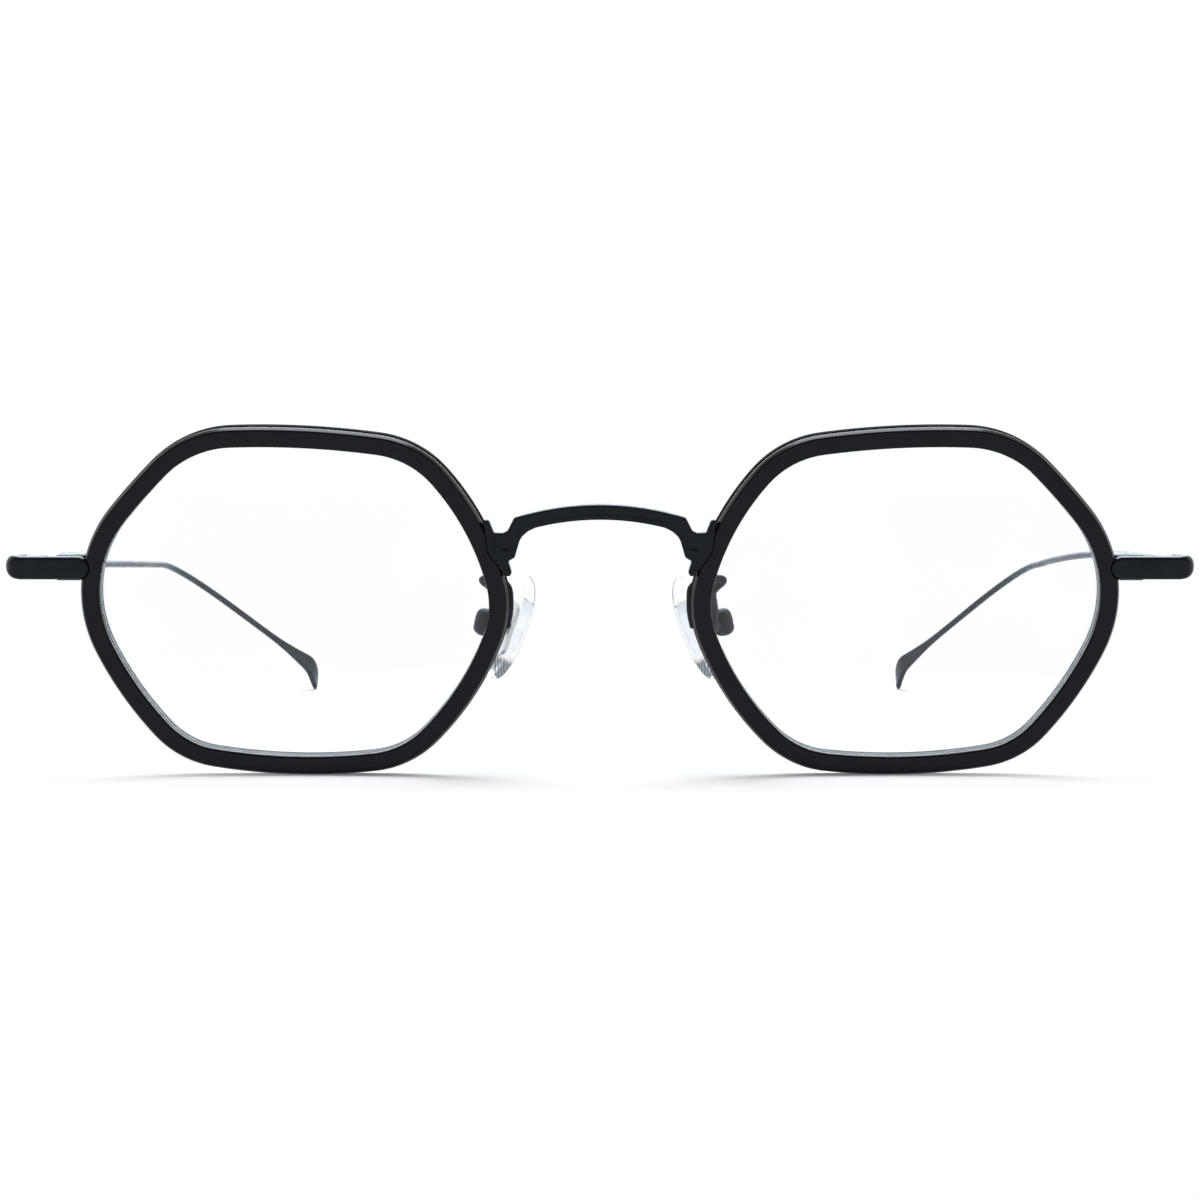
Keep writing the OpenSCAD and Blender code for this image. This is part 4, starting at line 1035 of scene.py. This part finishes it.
def pad_surface():
    """Ovals of sines to a power below 1, smaller at both faces, wider above and bowed by a square."""
    s = np.radians(np.linspace(-90, 90, PAD_ROWS + 1)[1:-1])[:, None]
    a = np.radians(np.linspace(0, 360, PAD_COLS, endpoint=False))[None]
    size = np.cos(s) ** 0.5
    x = -PAD_MID + np.sin(s) * PAD_T / 2 * np.ones_like(a)
    boxy = lambda v: np.sign(v) * np.abs(v) ** PAD_BOXY
    long = size * (PAD_L / 2 + 0.1) * boxy(np.sin(a)) + 0.15
    wide = size * PAD_W / 2 * boxy(np.cos(a)) * (1 + 0.10 * np.sin(a))
    x = x - PAD_BOW * ((long / (PAD_L / 2)) ** 2 - 0.5)
    return np.stack([x, wide, long], -1)


def pad_painted_refraction(surface):
    """How much painted dark refraction each point has: a smooth step down the pad times one toward its front
    edge.
    """
    wide, long = surface[..., 1], surface[..., 2]
    low = ease((-long / (PAD_L / 2) - DARK_REFRACTION_LOW) / DARK_REFRACTION_LOW_FADE)
    return low * ease((-DARK_REFRACTION_EDGE - wide) / DARK_REFRACTION_EDGE_FADE)


surface = pad_surface()
for side, word in SIDES:
    points = front_to_world(pad_to_front(surface, side, PAD_ROCK))
    pad = tube(f"{word}_silicone_pad", mirrored(points, side), 80)
    # Each point's share of the painted dark refraction.
    painted_refraction = pad.data.attributes.new("painted_refraction", "FLOAT", "POINT")
    painted_refraction.data.foreach_set("value", pad_painted_refraction(surface).ravel())
    dress(pad, pad_silicone, f"{word}_pad", "pad_silicone", f"{word}_nose_pad")
    print(pad.name, len(pad.data.polygons), "faces")

# %% [markdown]
# ## Screws, hinges and inserts
# These CAD solids already have their real shape: slotted heads, knuckles and posts. They
# keep their meshes and only get their finish.

# %% Finishes of the small solids
SMALL = {
    "rim_screw": screw_steel, "hinge_screw": screw_steel, "pad_screw": screw_steel,
    "front_hinge": dark_plating, "temple_hinge": dark_plating, "pad_insert": insert_metal,
}
for kind, finish in SMALL.items():
    for side, word in SIDES:
        coat(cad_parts[f"{word}_{kind}"], finish)
print("dressed", 2 * len(SMALL), "small solids")

# %% [markdown]
# ## Table, backdrop and light
# The photograph has a white ground with only a thin soft shadow under the rims. The table
# is pale and keeps that shadow near the glasses, and away from them it and the backdrop are
# plain white to the eye of the camera, in mirror images and through the lenses. The light
# is a soft sky with a large soft lamp behind and one above, so the rims' bevelled top edges
# catch a pale line, and two weak lamps at the sides.

# %% Table
TABLE_HALF = 20
SHADE_END, WHITE_START = 0.087, 0.105
TABLE_GLOW, TABLE_LIFT = 1.0, 0.12
table_mesh = bpy.data.meshes.new("studio_table")
corners = [(x * TABLE_HALF, y * TABLE_HALF, 0) for x, y in ((-1, -1), (1, -1), (1, 1), (-1, 1))]
table_mesh.from_pydata(corners, [], [[0, 1, 2, 3]])
table = placed("studio_table", table_mesh)
table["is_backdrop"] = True

table_finish, tree, shader, place = new_finish("table_white")
paper = noise(tree, place, 400.0, 2.0)
pale = ramp(tree, paper, (0.3, (0.84,) * 3), (0.7, (0.86,) * 3))
fill(tree, shader, {"Base Color": pale, "Roughness": 0.9, "Specular IOR Level": 0.1})
ray = tree.nodes.new("ShaderNodeLightPath").outputs
seen = combined(tree, "MAXIMUM", ray["Is Camera Ray"], ray["Is Transmission Ray"])
shine = combined(tree, "MAXIMUM", seen, ray["Is Glossy Ray"])
oval = node_of(tree, "ShaderNodeMapping", Scale=(0.8, 1.0, 1.0), Location=(0.0, -0.02, 0.0), Vector=place)
near = node_of(tree, "ShaderNodeVectorMath", operation="LENGTH")
fill(tree, near, {0: oval.outputs["Vector"]})
far_off = span(tree, near.outputs["Value"], 0.0, 1.0, SHADE_END, WHITE_START)
glow, lift = (node_of(tree, "ShaderNodeEmission", Color=WHITE, Strength=s) for s in (TABLE_GLOW, TABLE_LIFT))
lifted = tree.nodes.new("ShaderNodeAddShader")
fill(tree, lifted, {0: shader.outputs["BSDF"], 1: lift.outputs["Emission"]})
ground = blended(tree, far_off, lifted.outputs["Shader"], glow.outputs["Emission"])
either = blended(tree, shine, shader.outputs["BSDF"], ground)
fill(tree, tree.nodes["Material Output"], {"Surface": either})
table_mesh.materials.append(table_finish)
print("table:", table.name, "plain white from", WHITE_START, "m outward")

# %% Sky and lamps
SKY_FRONT, SKY_BACK, BACKDROP = 0.15, 0.42, 1.04
LAMP_COLOUR = (0.93, 0.965, 1.0)
world = bpy.data.worlds.new("studio_sky")
bpy.context.scene.world = world
world.use_nodes = True
tree = world.node_tree
tree.nodes.clear()
way = tree.nodes.new("ShaderNodeTexCoord").outputs["Generated"]
back = node_of(tree, "ShaderNodeSeparateXYZ", Vector=way).outputs["Y"]
ray = tree.nodes.new("ShaderNodeLightPath").outputs
seen = combined(tree, "MAXIMUM", ray["Is Camera Ray"], ray["Is Transmission Ray"])
mirrors = combined(tree, "MULTIPLY", ray["Is Glossy Ray"], span(tree, back, 0.15, 1.0, -0.1, 0.5))
strength = node_of(tree, "ShaderNodeMix", data_type="FLOAT", B=BACKDROP)
shine = combined(tree, "MAXIMUM", seen, mirrors)
fill(tree, strength, {"Factor": shine, "A": span(tree, back, SKY_FRONT, SKY_BACK, -0.6, 0.7)})
background = node_of(tree, "ShaderNodeBackground", Color=WHITE, Strength=strength.outputs["Result"])
node_of(tree, "ShaderNodeOutputWorld", Surface=background.outputs["Background"])


def softbox(name, size, power, place, turn):
    """A square area lamp: its side in metres, its watts, its place and how it is turned from looking down."""
    data = bpy.data.lights.new(name, "AREA")
    data.size, data.energy, data.color = size, power, LAMP_COLOUR
    lamp = placed(name, data)
    lamp.location = place
    lamp.rotation_euler = np.radians(turn)


softbox("lamp_above", 0.5, 5.2, (0.0, 0.28, 0.75), (-22.0, 0.0, 0.0))
softbox("lamp_behind", 1.3, 10.5, (0.0, 1.2, 0.8), (-60.0, 0.0, 0.0))
softbox("lamp_left", 0.6, 0.9, (-0.8, 0.15, 0.35), (0.0, -70.0, 0.0))
softbox("lamp_right", 0.6, 0.9, (0.8, 0.15, 0.35), (0.0, 70.0, 0.0))
bpy.context.scene.view_settings.view_transform = "Standard"

# %% [markdown]
# ## The visual box
# The finished surfaces have to fill the same box as the CAD model, so the box of the shown pieces is worked
# out and printed.

# %% Sizes and finish
low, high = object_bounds()
print("visual box, mm:", [round(1000 * c, 2) for c in (*low, *high)])
